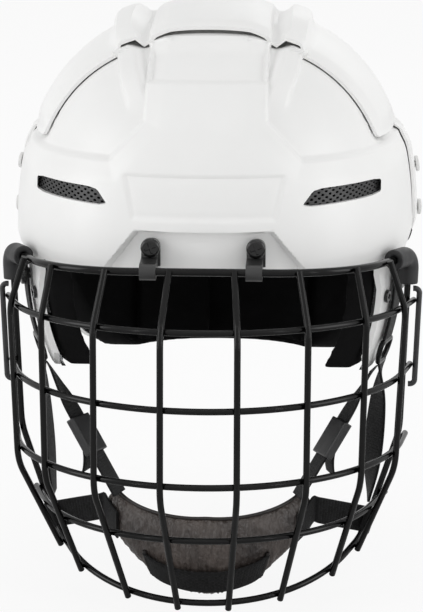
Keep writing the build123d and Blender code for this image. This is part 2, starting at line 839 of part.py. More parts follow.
def cage_clip_nuts():
    nuts = []
    inner = front_y(clip_x + clip_flange_size / 2, clip_screw_z) + shell_wall + seat_gap * 2
    for side in (-1, 1):
        nut = Pos(side * clip_x, inner, clip_screw_z) * Rot(-90, 0, 0)
        plate = Cylinder(clip_flange_size / 2, clip_flange_thick, align=(Align.CENTER, Align.CENTER, Align.MIN))
        plate += Cylinder(clip_nut_size / 2, clip_flange_thick * 3,
                          align=(Align.CENTER, Align.CENTER, Align.MIN))
        plate -= Cylinder(clip_screw_size / 2 + running_gap, overrun)
        nuts.append(nut * plate)
    return nuts


# Flat webbing: a strip lofted through cross-sections
def web(spots, width, thick=web_thick):
    sections = []
    for spot, across, out in spots:
        spot, across, out = Vector(spot), Vector(across).normalized(), Vector(out)
        out = (out - across * out.dot(across)).normalized()
        corners = [spot + across * (width / 2 * i) + out * (thick / 2 * j)
                   for i, j in ((-1, -1), (1, -1), (1, 1), (-1, 1))]
        sections.append(Wire(Polyline(*corners, close=True).edges()))
    return Solid.make_loft(sections, ruled=True)


def on_side(side, y, z, lift):
    plane = side_plane(side, y, z, lift)
    return plane.origin, plane.x_dir, plane.z_dir


def web_lift():
    return seat_gap * 2 + stud_height + web_thick / 2


def snap_web(side):
    high = snap_z + snap_size * 3 / 4
    levels = [high + (ring_bar_z - high) * k / 5 for k in range(6)]
    return web([on_side(side, snap_y, z, web_lift()) for z in levels], web_snap)


def snap_cap(side):
    cap = Cylinder(snap_size / 2, snap_thick, align=(Align.CENTER, Align.CENTER, Align.MIN))
    cap = fillet(cap.edges().group_by(Axis.Z)[-1], snap_thick / 2)
    return side_plane(side, snap_y, snap_z, web_lift() + web_thick / 2 + seat_gap) * cap


def snap_studs():
    return [side_pin(side_plane(side, snap_y, snap_z, seat_gap), stud_size, stud_height, 0)
            for side in (-1, 1)]


def ring_plane(side):
    return side_plane(side, snap_y, ring_bar_z, web_lift())


def d_ring(side):
    half, high = web_wide / 2, -ring_wire / 2 - seat_gap
    points = [(-half, high), (-half * 0.9, high - ring_height / 2), (-half / 2, -ring_height),
              (half / 2, -ring_height), (half * 0.9, high - ring_height / 2), (half, high)]
    plane = ring_plane(side)
    up = 1 if plane.y_dir.Z > 0 else -1
    spots = [plane.from_local_coords(Vector(x, up * y, 0)) for x, y in points]
    path = FilletPolyline(*spots, radius=ring_wire * 0.9, close=True)
    start = Plane(origin=path @ 0, z_dir=path % 0)
    return sweep(start * Circle(ring_wire / 2), path=path)


def below_ring(side, along):
    plane = ring_plane(side)
    up = 1 if plane.y_dir.Z > 0 else -1
    return plane.from_local_coords(Vector(along, -up * (ring_height + ring_wire / 2 + seat_gap), 0))


def side_web(side):
    foot_z = jaw_wrap_z + web_wide / 2 + seat_gap
    hold = wire_size / 2 + seat_gap + web_thick / 2
    top = below_ring(side, web_narrow / 3)
    foot = Vector(side * (rim_x(foot_z) - hold), rim_y(foot_z) + web_snap / 2, foot_z)
    spots = []
    for share in (0, 0.3, 0.65, 1):
        spots.append((top + (foot - top) * share, (side * (1 - share) / 4, 1, 0), (side, 0, 0)))
    return web(spots, web_snap)


def cup_reach_at(turn):
    return cup_reach + (cup_half_width - cup_reach) * abs(turn) / cup_turn


def cup_levels(turn):
    share = (turn / cup_turn) ** 2
    top = cup_top + (cup_wing_top - cup_top) * share
    low = cup_bottom + (cup_wing_bottom - cup_bottom) * share
    return top, (top * 2 + low) / 3, low


def cup_spot(turn, out, z):
    swing = radians(turn)
    return Vector(out * sin(swing), cup_axis_y - out * cos(swing), z)


def hanger_web(side):
    z, spots = jaw_wrap_z, []
    start = Vector(side * rim_x(z), rim_y(z) + (wire_size + web_thick) / 2 + seat_gap * 2, z)
    off = seat_gap * 3 / 2 + web_thick / 2
    turns = (wrap_turn_high, (wrap_turn_high + wrap_turn_low) / 2, wrap_turn_low)
    ends = [cup_spot(side * turn, cup_reach_at(turn) + off, cup_levels(turn)[1]) for turn in turns]
    run = (ends[0] - start).normalized()
    for share in (0, 0.5, 0.9):
        spots.append((start + (ends[0] - start) * share, (0, 0, 1), (run.Y * side, -run.X * side, 0)))
    for turn, spot in zip(turns, ends):
        spots.append((spot, (0, 0, 1), (-side * sin(radians(turn)), cos(radians(turn)), 0)))
    return web(spots, web_wide)


def cup_outer(turn):
    top, middle, low = cup_levels(turn)
    reach, curl = cup_reach_at(turn), cup_curl * (1 - (turn / cup_turn) ** 2)
    return ThreePointArc(cup_spot(turn, reach - cup_thick / 2, top), cup_spot(turn, reach, middle),
                         cup_spot(turn, reach - curl, low))


def cup_section(turn):
    top, middle, low = cup_levels(turn)
    reach, curl = cup_reach_at(turn), cup_curl * (1 - (turn / cup_turn) ** 2)
    outer = cup_outer(turn)
    inner = ThreePointArc(cup_spot(turn, reach - curl - cup_thick / 2, low + cup_thick * 2 / 3),
                          cup_spot(turn, reach - cup_thick, middle + cup_thick / 4),
                          cup_spot(turn, reach - cup_thick, top))
    edges = [outer.edge(), Line(outer @ 1, inner @ 0).edge(), inner.edge(), Line(inner @ 1, outer @ 0).edge()]
    return Wire(edges)


def chin_cup():
    sections = [cup_section(-cup_turn + cup_turn * 2 * k / cup_steps) for k in range(cup_steps + 1)]
    return Solid.make_loft(sections, ruled=True)


def sling_section(turn):
    arc = cup_outer(turn)
    side = Vector(cos(radians(turn)), sin(radians(turn)), 0)
    lines = []
    for lift in (seat_gap, seat_gap + web_thick):
        spots = []
        for share in sling_band_share:
            out = (arc % share).cross(side).normalized()
            spots.append(arc @ share + out * lift)
        lines.append(spots)
    outer, inner = ThreePointArc(*lines[1]), ThreePointArc(*reversed(lines[0]))
    edges = [outer.edge(), Line(outer @ 1, inner @ 0).edge(), inner.edge(), Line(inner @ 1, outer @ 0).edge()]
    return Wire(edges)


def sling_web():
    turns = [-sling_turn + sling_turn * k / 4 for k in range(9)]
    return Solid.make_loft([sling_section(turn) for turn in turns], ruled=True)


def jaw_spot(side, share):
    top = below_ring(side, -web_narrow * 3 / 4)
    foot = cup_spot(side * jaw_turn, cup_reach_at(jaw_turn) - cup_thick / 2, cup_wing_top - seat_gap)
    bent = min(share * 3, 1)
    across = ring_plane(side).x_dir * (1 - bent) + Vector(-side / 3, 1, 0) * bent
    return top + (foot - top) * share, across, Vector(side, 1 / 3, 1 / 5)


def jaw_web(side):
    return web([jaw_spot(side, share) for share in (0, 1 / 6, 1 / 3, 1)], web_narrow)


def strap_slider(side):
    spot, across, out = jaw_spot(side, slider_share)
    run = jaw_spot(side, 1)[0] - jaw_spot(side, 0)[0]
    body = Box(slider_wide, slider_thick, slider_long)
    body = fillet(body.edges().filter_by(Axis.Z), slider_thick / 3)
    body -= Box(web_narrow + slider_slot * 2, web_thick + slider_slot * 2, slider_long * 2)
    return Plane(origin=spot, x_dir=across, z_dir=run) * body


save("front_shell", front_shell())
save("rear_shell", rear_shell())
save("front_liner", front_liner())
save("brow_pad", brow_pad())
save("rear_liner", rear_liner())
save("nape_pads", nape_pads())
save("cage_top_bar", cage_top_bar())
save("cage_rim_wire", cage_rim_wire())
for index, plan in enumerate(cross_plans()):
    save(f"cage_cross_wire_{index + 1}", cage_cross_wire(plan))
for side, name in ((-1, "right"), (1, "left")):
    save(f"temple_pad_{name}", temple_pad(side))
    save(f"side_liner_{name}", side_liner(side))
    save(f"vent_mesh_{name}", vent_mesh(side))
    save(f"ear_guard_{name}", ear_guard(side))
    save(f"cage_side_loop_{name}", cage_side_loop(side))
    save(f"temple_cap_{name}", temple_cap(side))
    save(f"cage_clip_{name}", cage_clip(side))
    save(f"snap_web_{name}", snap_web(side))
    save(f"snap_cap_{name}", snap_cap(side))
    save(f"d_ring_{name}", d_ring(side))
    save(f"side_web_{name}", side_web(side))
    save(f"hanger_web_{name}", hanger_web(side))
    save(f"jaw_web_{name}", jaw_web(side))
    save(f"strap_slider_{name}", strap_slider(side))
    for which in range(len(upright_top_x)):
        save(f"cage_upright_{name}_{which + 1}", cage_upright(side, which))
save("cage_clip_screws", cage_clip_screws())
save("cage_clip_nuts", cage_clip_nuts())
save("ear_guard_screws", guard_screws())
save("adjuster_screws", adjuster_screws())
save("adjuster_nuts", adjuster_nuts())
save("snap_studs", snap_studs())
save("chin_cup", chin_cup())
save("sling_web", sling_web())
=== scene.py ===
import json
import math

import bpy
import numpy as np
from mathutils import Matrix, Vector, noise

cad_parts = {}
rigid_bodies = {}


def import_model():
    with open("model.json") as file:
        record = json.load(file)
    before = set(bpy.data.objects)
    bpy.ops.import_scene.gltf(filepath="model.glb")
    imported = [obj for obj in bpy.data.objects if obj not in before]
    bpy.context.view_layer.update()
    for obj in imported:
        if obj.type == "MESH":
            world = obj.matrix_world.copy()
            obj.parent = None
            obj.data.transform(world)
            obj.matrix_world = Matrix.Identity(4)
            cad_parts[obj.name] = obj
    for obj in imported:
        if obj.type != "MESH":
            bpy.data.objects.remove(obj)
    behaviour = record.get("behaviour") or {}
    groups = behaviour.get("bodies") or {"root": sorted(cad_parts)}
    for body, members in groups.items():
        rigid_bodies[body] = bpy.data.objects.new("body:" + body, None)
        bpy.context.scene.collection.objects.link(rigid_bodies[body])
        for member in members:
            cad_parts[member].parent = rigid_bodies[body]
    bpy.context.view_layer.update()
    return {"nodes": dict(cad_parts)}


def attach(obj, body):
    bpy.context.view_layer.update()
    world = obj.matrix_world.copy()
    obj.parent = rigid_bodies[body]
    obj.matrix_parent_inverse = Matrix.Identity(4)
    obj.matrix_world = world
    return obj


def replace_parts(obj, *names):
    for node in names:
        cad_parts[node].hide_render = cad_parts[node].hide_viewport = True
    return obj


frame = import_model()
nodes = frame["nodes"]
mm = 0.001
print("frame loaded:", len(nodes), "nodes")


# Small helpers for picking, adding and finishing pieces
def deselectAll():
    for other in bpy.context.view_layer.objects:
        other.select_set(False)


def pickOnly(piece):
    if bpy.context.object and bpy.context.object.mode != "OBJECT":
        bpy.ops.object.mode_set(mode="OBJECT")
    deselectAll()
    piece.select_set(True)
    bpy.context.view_layer.objects.active = piece


def nameLast(name):
    piece = bpy.context.object
    piece.name = name
    piece.data.name = name
    return piece


def applyAll(piece):
    pickOnly(piece)
    for modifier in list(piece.modifiers):
        bpy.ops.object.modifier_apply(modifier=modifier.name)


def smoothBy(piece, degrees):
    pickOnly(piece)
    bpy.ops.object.shade_smooth_by_angle(angle=math.radians(degrees))


def editAll(piece):
    pickOnly(piece)
    bpy.ops.object.mode_set(mode="EDIT")
    bpy.ops.mesh.select_all(action="SELECT")


def outwards(piece):
    editAll(piece)
    bpy.ops.mesh.normals_make_consistent(inside=False)
    bpy.ops.object.mode_set(mode="OBJECT")


def dress(piece, material):
    piece.data.materials.clear()
    piece.data.materials.append(material)


# A sheet of rows and columns, started as a grid and laid through the given points
def laySheet(name, points):
    rows, columns = points.shape[:2]
    deselectAll()
    bpy.ops.mesh.primitive_grid_add(x_subdivisions=columns - 1, y_subdivisions=rows - 1, size=1)
    sheet = nameLast(name)
    sheet.data.vertices.foreach_set("co", np.ascontiguousarray(points * mm, dtype=np.float32).ravel())
    sheet.data.update()
    return sheet


# A closed bar cut from an outline: one in the side view (y, z) runs along x,
# and one in the front view (x, z) runs along y
def cutBar(name, outline, along, low, high):
    deselectAll()
    bpy.ops.mesh.primitive_circle_add(vertices=len(outline), fill_type="NGON")
    bar = nameLast(name)
    for vertex, (first, z) in zip(bar.data.vertices, outline):
        vertex.co = Vector((low, first, z) if along == "x" else (first, low, z)) * mm
    length = (high - low) * mm
    run = (length, 0, 0) if along == "x" else (0, length, 0)
    editAll(bar)
    bpy.ops.mesh.extrude_region_move(TRANSFORM_OT_translate={"value": run})
    bpy.ops.object.mode_set(mode="OBJECT")
    outwards(bar)
    return bar


# The cutter's form taken from a piece, or all that lies outside it
def carve(piece, cutter, operation):
    pickOnly(piece)
    modifier = piece.modifiers.new("carve", "BOOLEAN")
    modifier.operation = operation
    modifier.solver = "EXACT"
    modifier.object = cutter
    bpy.ops.object.modifier_apply(modifier="carve")
    bpy.data.objects.remove(cutter)


# Corners of an outline cut back a few times until they read as round
def roundOutline(outline, share, times):
    for _ in range(times):
        turned = []
        for k, (ax, az) in enumerate(outline):
            bx, bz = outline[(k + 1) % len(outline)]
            turned.append((ax + (bx - ax) * share, az + (bz - az) * share))
            turned.append((bx + (ax - bx) * share, bz + (az - bz) * share))
        outline = turned
    return outline


# The open ends of a tube-like sheet are filled, and its seam is joined
def closeEnds(piece):
    editAll(piece)
    bpy.ops.mesh.remove_doubles(threshold=0.000001)
    bpy.ops.mesh.select_mode(type="EDGE")
    bpy.ops.mesh.select_all(action="DESELECT")
    bpy.ops.mesh.select_non_manifold()
    bpy.ops.mesh.fill()
    bpy.ops.object.mode_set(mode="OBJECT")
    outwards(piece)


# An sRGB hex value turned to linear
def colour(code):
    parts = [int(code[k:k + 2], 16) / 255 for k in (0, 2, 4)]
    linear = [p / 12.92 if p <= 0.04045 else ((p + 0.055) / 1.055) ** 2.4 for p in parts]
    return (*linear, 1.0)


# Materials: a value is set on a node's own socket, and another node's output is linked to it
def wireUp(tree, node, inputs):
    for name, value in inputs.items():
        if isinstance(value, bpy.types.NodeSocket):
            tree.links.new(value, node.inputs[name])
        else:
            node.inputs[name].default_value = value


def addNode(tree, kind, inputs, **settings):
    node = tree.nodes.new("ShaderNode" + kind)
    for name, value in settings.items():
        setattr(node, name, value)
    wireUp(tree, node, inputs)
    return node


def startMaterial(name):
    material = bpy.data.materials.new(name)
    material.use_nodes = True
    tree = material.node_tree
    return material, tree, tree.nodes["Principled BSDF"], addNode(tree, "TexCoord", {}).outputs


# Object coordinates are in metres: how often a pattern of this size in millimetres repeats in one
def perMetre(size):
    return 1000 / size


mostOfNoise = {"From Min": 0.3, "From Max": 0.7}  # the levels that nearly all of a noise lies between


# Soft patches of a size in millimetres, between two shades
def mottle(tree, shader, place, patch, detail, light, dark):
    cloud = addNode(tree, "TexNoise", {"Vector": place, "Scale": perMetre(patch), "Detail": detail})
    share = addNode(tree, "MapRange", {"Value": cloud.outputs["Fac"], **mostOfNoise})
    shade = addNode(tree, "Mix", {"Factor": share.outputs["Result"], "A": colour(light),
                                  "B": colour(dark)}, data_type="RGBA")
    wireUp(tree, shader, {"Base Color": shade.outputs["Result"]})
    return cloud.outputs["Fac"]


# Injection-moulded plastic: one even colour, a shine that fine scuffs dull here and there,
# and the faint orange peel of the mould, which breaks the edge of a reflection
def mouldedPlastic(name, light, dark, gloss, rough, coat, peelDepth):
    material, tree, shader, where = startMaterial(name)
    mottle(tree, shader, where["Object"], 38.5, 4, light, dark)
    scuff = addNode(tree, "TexNoise", {"Vector": where["Object"], "Scale": perMetre(6.25), "Detail": 5,
                                       "Roughness": 0.6})
    dull = addNode(tree, "MapRange", {"Value": scuff.outputs["Fac"], **mostOfNoise,
                                      "To Min": gloss, "To Max": rough})
    peel = addNode(tree, "TexNoise", {"Vector": where["Object"], "Scale": perMetre(2.38), "Detail": 2})
    bump = addNode(tree, "Bump", {"Height": peel.outputs["Fac"], "Strength": 0.12, "Distance": peelDepth})
    wireUp(tree, shader, {"Roughness": dull.outputs["Result"], "Normal": bump.outputs["Normal"],
                          "Coat Weight": coat, "Coat Roughness": 0.06})
    return material


# Steel under a baked or plated coat: narrow highlights along each wire, softened by a fine grain.
# The grain of such a coat is about 0.1 mm, and it is drawn five times as coarse so that it shows
def coatedSteel(name, light, dark, gloss, rough, grainStrength=0.2, specular=0.5, metallic=0.0):
    material, tree, shader, where = startMaterial(name)
    cloud = mottle(tree, shader, where["Object"], 11.1, 4, light, dark)
    dull = addNode(tree, "MapRange", {"Value": cloud, **mostOfNoise, "To Min": gloss, "To Max": rough})
    grain = addNode(tree, "TexNoise", {"Vector": where["Object"], "Scale": perMetre(0.526), "Detail": 2})
    bump = addNode(tree, "Bump", {"Height": grain.outputs["Fac"], "Strength": grainStrength,
                                  "Distance": 0.00008})
    wireUp(tree, shader, {"Roughness": dull.outputs["Result"], "Normal": bump.outputs["Normal"],
                          "Specular IOR Level": specular, "Metallic": metallic})
    return material


# Closed-cell foam with a moulded skin: matt and almost black, with a fine pebble of cells.
# The cells are about 0.3 mm, and they are drawn more than twice as coarse so that they show
def closedFoam(name):
    material, tree, shader, where = startMaterial(name)
    mottle(tree, shader, where["Object"], 16.7, 5, "070707", "0e0e0f")
    cells = addNode(tree, "TexVoronoi", {"Vector": where["Object"], "Scale": perMetre(0.769)})
    bump = addNode(tree, "Bump", {"Height": cells.outputs["Distance"], "Strength": 0.35, "Distance": 0.0002})
    wireUp(tree, shader, {"Roughness": 0.85, "Specular IOR Level": 0.15, "Normal": bump.outputs["Normal"]})
    return material


# Moulded rubber: a soft sheen that changes from patch to patch, and a grain of about 0.8 mm
def mouldedRubber(name):
    material, tree, shader, where = startMaterial(name)
    cloud = mottle(tree, shader, where["Object"], 6.67, 4, "101011", "1a1a1c")
    dull = addNode(tree, "MapRange", {"Value": cloud, **mostOfNoise, "To Min": 0.42, "To Max": 0.6})
    grain = addNode(tree, "TexNoise", {"Vector": where["Object"], "Scale": perMetre(0.833), "Detail": 3})
    bump = addNode(tree, "Bump", {"Height": grain.outputs["Fac"], "Strength": 0.3, "Distance": 0.00015})
    wireUp(tree, shader, {"Roughness": dull.outputs["Result"], "Normal": bump.outputs["Normal"]})
    return material


# Moulded polycarbonate: clear, with fine scratches and a slow waviness that bends what lies behind it
def clearPolycarbonate(name):
    material, tree, shader, where = startMaterial(name)
    scratch = addNode(tree, "TexNoise", {"Vector": where["Object"], "Scale": perMetre(3.33), "Detail": 6,
                                         "Roughness": 0.7})
    dull = addNode(tree, "MapRange", {"Value": scratch.outputs["Fac"], **mostOfNoise,
                                      "To Min": 0.04, "To Max": 0.16})
    wave = addNode(tree, "TexNoise", {"Vector": where["Object"], "Scale": perMetre(25), "Detail": 2})
    bump = addNode(tree, "Bump", {"Height": wave.outputs["Fac"], "Strength": 0.2, "Distance": 0.001})
    wireUp(tree, shader, {"Base Color": colour("eef1f2"), "Transmission Weight": 1.0, "IOR": 1.45,
                          "Roughness": dull.outputs["Result"], "Normal": bump.outputs["Normal"]})
    return material


# Woven nylon webbing: small raised blocks of yarn with dark gaps. It follows the strap, whose own
# coordinates run across and along it in millimetres. Its fibres are 0.2 mm apart. The yarns, about
# 1 mm apart on the real strap, are drawn 1.7 mm apart so that they show
def wovenNylon(name, pitch):
    material, tree, shader, where = startMaterial(name)
    weave = addNode(tree, "TexBrick", {"Vector": where["UV"], "Scale": 1.0, "Brick Width": pitch * 1.5,
                                       "Row Height": pitch, "Mortar Size": pitch * 0.16,
                                       "Mortar Smooth": 0.6, "Color1": colour("060606"),
                                       "Color2": colour("18181a"), "Mortar": colour("010101")})
    thread = addNode(tree, "TexWave", {"Vector": where["UV"], "Scale": 1.6, "Distortion": 1.2},
                     wave_type="BANDS", bands_direction="X")
    fibre = addNode(tree, "Bump", {"Height": thread.outputs["Fac"], "Strength": 0.25, "Distance": 0.0002})
    yarn = addNode(tree, "Math", {0: 1.0, 1: weave.outputs["Fac"]}, operation="SUBTRACT")
    bump = addNode(tree, "Bump", {"Height": yarn.outputs["Value"], "Strength": 0.7, "Distance": 0.0005,
                                  "Normal": fibre.outputs["Normal"]})
    wireUp(tree, shader, {"Base Color": weave.outputs["Color"], "Normal": bump.outputs["Normal"],
                          "Roughness": 0.6, "Specular IOR Level": 0.2, "Sheen Weight": 0.06})
    return material


# Soft vinyl over padding: folds of 3.8 mm and creases of 1.9 mm, drawn out up and down the pad,
# over pores of 0.7 mm, so that the light catches in small bright streaks
def creasedVinyl(name):
    material, tree, shader, where = startMaterial(name)
    cloud = mottle(tree, shader, where["Object"], 22.2, 5, "2a2422", "5a514c")
    dull = addNode(tree, "MapRange", {"Value": cloud, **mostOfNoise, "To Min": 0.16, "To Max": 0.3})
    drawnOut = addNode(tree, "Mapping", {"Vector": where["Object"], "Scale": (1.0, 1.0, 0.6)})
    along = drawnOut.outputs["Vector"]
    fold = addNode(tree, "TexNoise", {"Vector": along, "Scale": perMetre(3.85), "Detail": 3})
    crease = addNode(tree, "TexNoise", {"Vector": along, "Scale": perMetre(1.92), "Detail": 4,
                                        "Roughness": 0.65})
    pore = addNode(tree, "TexVoronoi", {"Vector": where["Object"], "Scale": perMetre(0.667)})
    deep = addNode(tree, "Bump", {"Height": fold.outputs["Fac"], "Strength": 0.9, "Distance": 0.0022})
    fine = addNode(tree, "Bump", {"Height": crease.outputs["Fac"], "Strength": 0.8, "Distance": 0.0009,
                                  "Normal": deep.outputs["Normal"]})
    skin = addNode(tree, "Bump", {"Height": pore.outputs["Distance"], "Strength": 0.25, "Distance": 0.0001,
                                  "Normal": fine.outputs["Normal"]})
    wireUp(tree, shader, {"Roughness": dull.outputs["Result"], "Normal": skin.outputs["Normal"],
                          "Sheen Weight": 0.1})
    return material


whiteShell = mouldedPlastic("mouldedWhitePolyethylene", "f3f3f2", "f0f0ef", 0.34, 0.42, 0.0, 0.00006)
blackWire = coatedSteel("powderCoatedBlackSteel", "030303", "060606", 0.12, 0.18, 0.04, specular=0.22)
loopWire = coatedSteel("powderCoatedCharcoalSteel", "1d1d1e", "28282a", 0.3, 0.42)
blackScrew = coatedSteel("blackOxideSteel", "040404", "080808", 0.08, 0.14, 0.02)
greySteel = coatedSteel("zincPlatedSteel", "8c8d8f", "a2a3a5", 0.25, 0.4, metallic=0.9)
blackClip = mouldedPlastic("mouldedBlackNylon", "242424", "323232", 0.3, 0.42, 0.0, 0.0001)
blackMesh = mouldedPlastic("mouldedBlackPolypropylene", "1c1c1d", "2b2b2c", 0.35, 0.5, 0.0, 0.0001)
whiteKnob = mouldedPlastic("mouldedWhiteNylon", "e4e4e3", "dededd", 0.25, 0.35, 0.1, 0.0001)
darkPiping = mouldedPlastic("extrudedDarkVinyl", "1b1716", "26211f", 0.35, 0.5, 0.0, 0.0002)
blackFoam = closedFoam("skinnedBlackFoam")
blackRubber = mouldedRubber("mouldedBlackRubber")
clearGuard = clearPolycarbonate("mouldedClearPolycarbonate")
blackWebbing = wovenNylon("wovenBlackNylon", 1.7)
padVinyl = creasedVinyl("creasedBrownVinyl")
sliderPlastic = mouldedPlastic("mouldedBlackAcetal", "1d1d1e", "2a2a2b", 0.3, 0.45, 0.1, 0.0001)
print("materials made")


# The shell's form, in millimetres: a rounded box on a rounded plan, with the reliefs on it
shellForm = {"halfWidth": 105.0, "browDepth": 121.0, "napeDepth": 128.0, "crownHeight": 120.5,
             "underDepth": 116.0, "planPower": 2.35, "domePower": 2.5, "wall": 2.5, "gap": 1.3,
             "seamY": -58.0, "travel": 12.0}
shellRaised = {"bandRelief": 5.0, "bandTop": 57.0, "bandEdge": 3.0, "shoulderDrop": 12.0,
               "tongueRise": 5.0, "skirtStart": -12.0, "skirtFade": 20.0, "panelFoot": 49.0,
               "panelWaist": 31.0, "panelWaistHeight": 76.0, "ridgeFoot": 34.0, "ridgeTop": 46.0,
               "ridgeStart": 78.0, "ridgeHalf": 8.0, "ridgeRelief": 4.5, "scoopLow": 93.0, "scoopHalf": 31.0,
               "scoopSink": 3.5, "scoopEdge": 2.4, "scoopFade": 12.0, "badgeLow": 30.0, "badgeHigh": 49.5,
               "badgeHalf": 38.5, "badgeLean": 0.2, "badgeSink": 0.9, "badgeEdge": 1.6,
               "grooveDeep": 1.1, "grooveWide": 1.1, "notchTop": 22.5, "notchHalf": 34.0,
               "notchFoot": 52.0, "notchSink": 5.0, "notchEdge": 2.2,
               "humpEnd": 40.0, "humpFade": 60.0, "humpStart": 22.0, "humpRelief": 4.0, "humpRise": 25.0}

# Front edge of the rear shell in the side view, and how thin the shell gets towards it
seamLine = [(-58, 200), (-58, 62), (3, 62), (8, 57), (8, -8)]
seamTaper = {"fade": 9.0, "outer": 1.7, "inner": 0.7}


# A soft step from 0 to 1
def ease(t):
    t = np.clip(t, 0, 1)
    return t * t * (3 - 2 * t)


# Below 1 inside the plain form, 1 on it and above 1 outside it
def formValue(x, y, z):
    form = shellForm
    depth = np.where(y < 0, form["browDepth"], form["napeDepth"])
    height = np.where(z > 0, form["crownHeight"], form["underDepth"])
    plan = ((np.abs(x) / form["halfWidth"]) ** form["planPower"]
            + (np.abs(y) / depth) ** form["planPower"])
    return (plan ** (form["domePower"] / form["planPower"])
            + (np.abs(z) / height) ** form["domePower"]) ** (1 / form["domePower"])


# The same for the front shell, whose tongue stays low enough to slide under the rear shell
def tongueValue(x, y, z):
    slid = np.minimum(np.maximum(y - shellForm["travel"], shellForm["seamY"]), 0)
    lowered = np.where(y < shellForm["travel"], slid, y)
    over = ease((z - shellRaised["bandTop"]) / shellRaised["tongueRise"])
    kept = np.where(y < shellForm["seamY"], y, y + (lowered - y) * over)
    return formValue(x, kept, z)


# How far out the middle of a crown ridge is at a height
def ridgeCentre(z):
    raised = shellRaised
    share = (z - raised["ridgeStart"]) / (shellForm["crownHeight"] - raised["ridgeStart"])
    return raised["ridgeFoot"] + (raised["ridgeTop"] - raised["ridgeFoot"]) * share


# How far the band, the side panels and the crown ridges stand out of the form
def shellRelief(x, y, z):
    raised = shellRaised
    side = np.abs(x)
    rise = raised["panelWaistHeight"] - raised["bandTop"]
    run = raised["panelFoot"] - raised["panelWaist"]
    slant = ((raised["panelFoot"] - side) * rise + (raised["bandTop"] - z) * run) / math.hypot(rise, run)
    inside = np.maximum(np.maximum(raised["bandTop"] - z, raised["panelWaist"] - side), slant)
    step, slope = ease(inside / raised["bandEdge"] + 0.5), ease(inside / raised["shoulderDrop"])
    lift = (step * 3 + slope * 2) / 5
    out = raised["bandRelief"] * lift * ease((z - raised["skirtStart"]) / raised["skirtFade"])
    near = ease((1 - np.abs(side - ridgeCentre(z)) / raised["ridgeHalf"]) * 2)
    grow = ease((z - raised["ridgeStart"]) / (shellForm["crownHeight"] - raised["ridgeStart"]) * 2)
    ridge = raised["ridgeRelief"] * grow * near + out * (1 - near)
    return np.where(z > raised["ridgeStart"], np.maximum(out, ridge), out)


# The front shell adds the scoops of the crown, the bare badge and the notch over the cage clips
def frontRelief(x, y, z):
    raised = shellRaised
    side = np.abs(x)
    out = shellRelief(x, y, z)
    scoop = raised["scoopSink"] * ease(np.minimum(z - raised["scoopLow"], raised["scoopHalf"] - side)
                                       / raised["scoopEdge"])
    scoop = scoop * ease((shellForm["seamY"] - y) / raised["scoopFade"])
    flankX = raised["badgeHalf"] - raised["badgeLean"] * (raised["badgeHigh"] - z)
    rim = np.minimum(np.minimum(raised["badgeHigh"] - z, z - raised["badgeLow"]), flankX - side)
    badge = raised["badgeSink"] * ease(rim / raised["badgeEdge"])
    badge = badge + raised["grooveDeep"] * np.exp(-(rim / raised["grooveWide"]) ** 2)
    lean = (raised["notchFoot"] - raised["notchHalf"]) / (raised["notchTop"] + 1)
    flank = raised["notchHalf"] + (raised["notchTop"] - z) * lean - side
    notch = ease(np.minimum(raised["notchTop"] - z, flank) / raised["notchEdge"] + 0.5)
    sunk = out - scoop - badge
    sunk = sunk - np.minimum(raised["notchSink"], np.maximum(sunk, 0)) * notch
    return np.where(y < shellForm["seamY"] / 2, sunk, out)


# The rear shell adds a hump on each crown ridge
def rearRelief(x, y, z):
    raised = shellRaised
    out = shellRelief(x, y, z)
    near = ease((1 - np.abs(np.abs(x) - ridgeCentre(z)) / (raised["ridgeHalf"] * 1.5)) * 2)
    grow = ease((y - shellForm["seamY"]) / raised["humpStart"])
    fade = ease((raised["humpEnd"] - y) / raised["humpFade"])
    rise = ease((z - raised["ridgeStart"]) / raised["humpRise"])
    hump = raised["humpRelief"] * near * grow * fade * rise
    return np.where(z > raised["ridgeStart"], out + hump, out)


# How near a point is to the front edge of the rear shell: 1 on the edge, 0 away from it
def seamNear(y, z):
    near = np.full_like(y, 99.0)
    for (ay, az), (by, bz) in zip(seamLine, seamLine[1:]):
        runY, runZ = by - ay, bz - az
        share = np.clip(((y - ay) * runY + (z - az) * runZ) / (runY ** 2 + runZ ** 2), 0, 1)
        near = np.minimum(near, np.hypot(y - ay - share * runY, z - az - share * runZ))
    return 1 - ease(near / seamTaper["fade"])


def rearOuterRelief(x, y, z):
    return rearRelief(x, y, z) - seamTaper["outer"] * seamNear(y, z)


def rearInnerRelief(x, y, z):
    return rearRelief(x, y, z) - seamTaper["inner"] * seamNear(y, z)


# Points of a skin: each row lies in a plane that turns about a line across the helmet
def skinPoints(centre, turns, tilts, value, relief, grow):
    turn, tilt = np.meshgrid(turns, tilts)
    way = np.stack([np.sin(turn), -np.cos(turn) * np.cos(tilt), np.cos(turn) * np.sin(tilt)], -1)
    near, far = np.zeros_like(turn), np.full_like(turn, 420.0)
    for _ in range(40):
        mid = (near + far) / 2
        spot = np.array(centre) + way * mid[..., None]
        within = value(spot[..., 0], spot[..., 1], spot[..., 2]) < 1
        near, far = np.where(within, mid, near), np.where(within, far, mid)
    spot = np.array(centre) + way * near[..., None]
    dip = 0.03
    slope = np.zeros_like(spot)
    for axis in range(3):
        ahead, behind = spot.copy(), spot.copy()
        ahead[..., axis] += dip
        behind[..., axis] -= dip
        slope[..., axis] = (value(ahead[..., 0], ahead[..., 1], ahead[..., 2])
                            - value(behind[..., 0], behind[..., 1], behind[..., 2]))
    slope /= np.linalg.norm(slope, axis=-1, keepdims=True)
    across = np.stack([np.zeros_like(turn), np.sin(tilt), np.cos(tilt)], -1)
    flat = slope - (slope * across).sum(-1, keepdims=True) * across
    reach = relief(spot[..., 0], spot[..., 1], spot[..., 2]) + grow
    pull = reach / np.maximum((flat ** 2).sum(-1), 0.25)
    return spot + flat * pull[..., None]


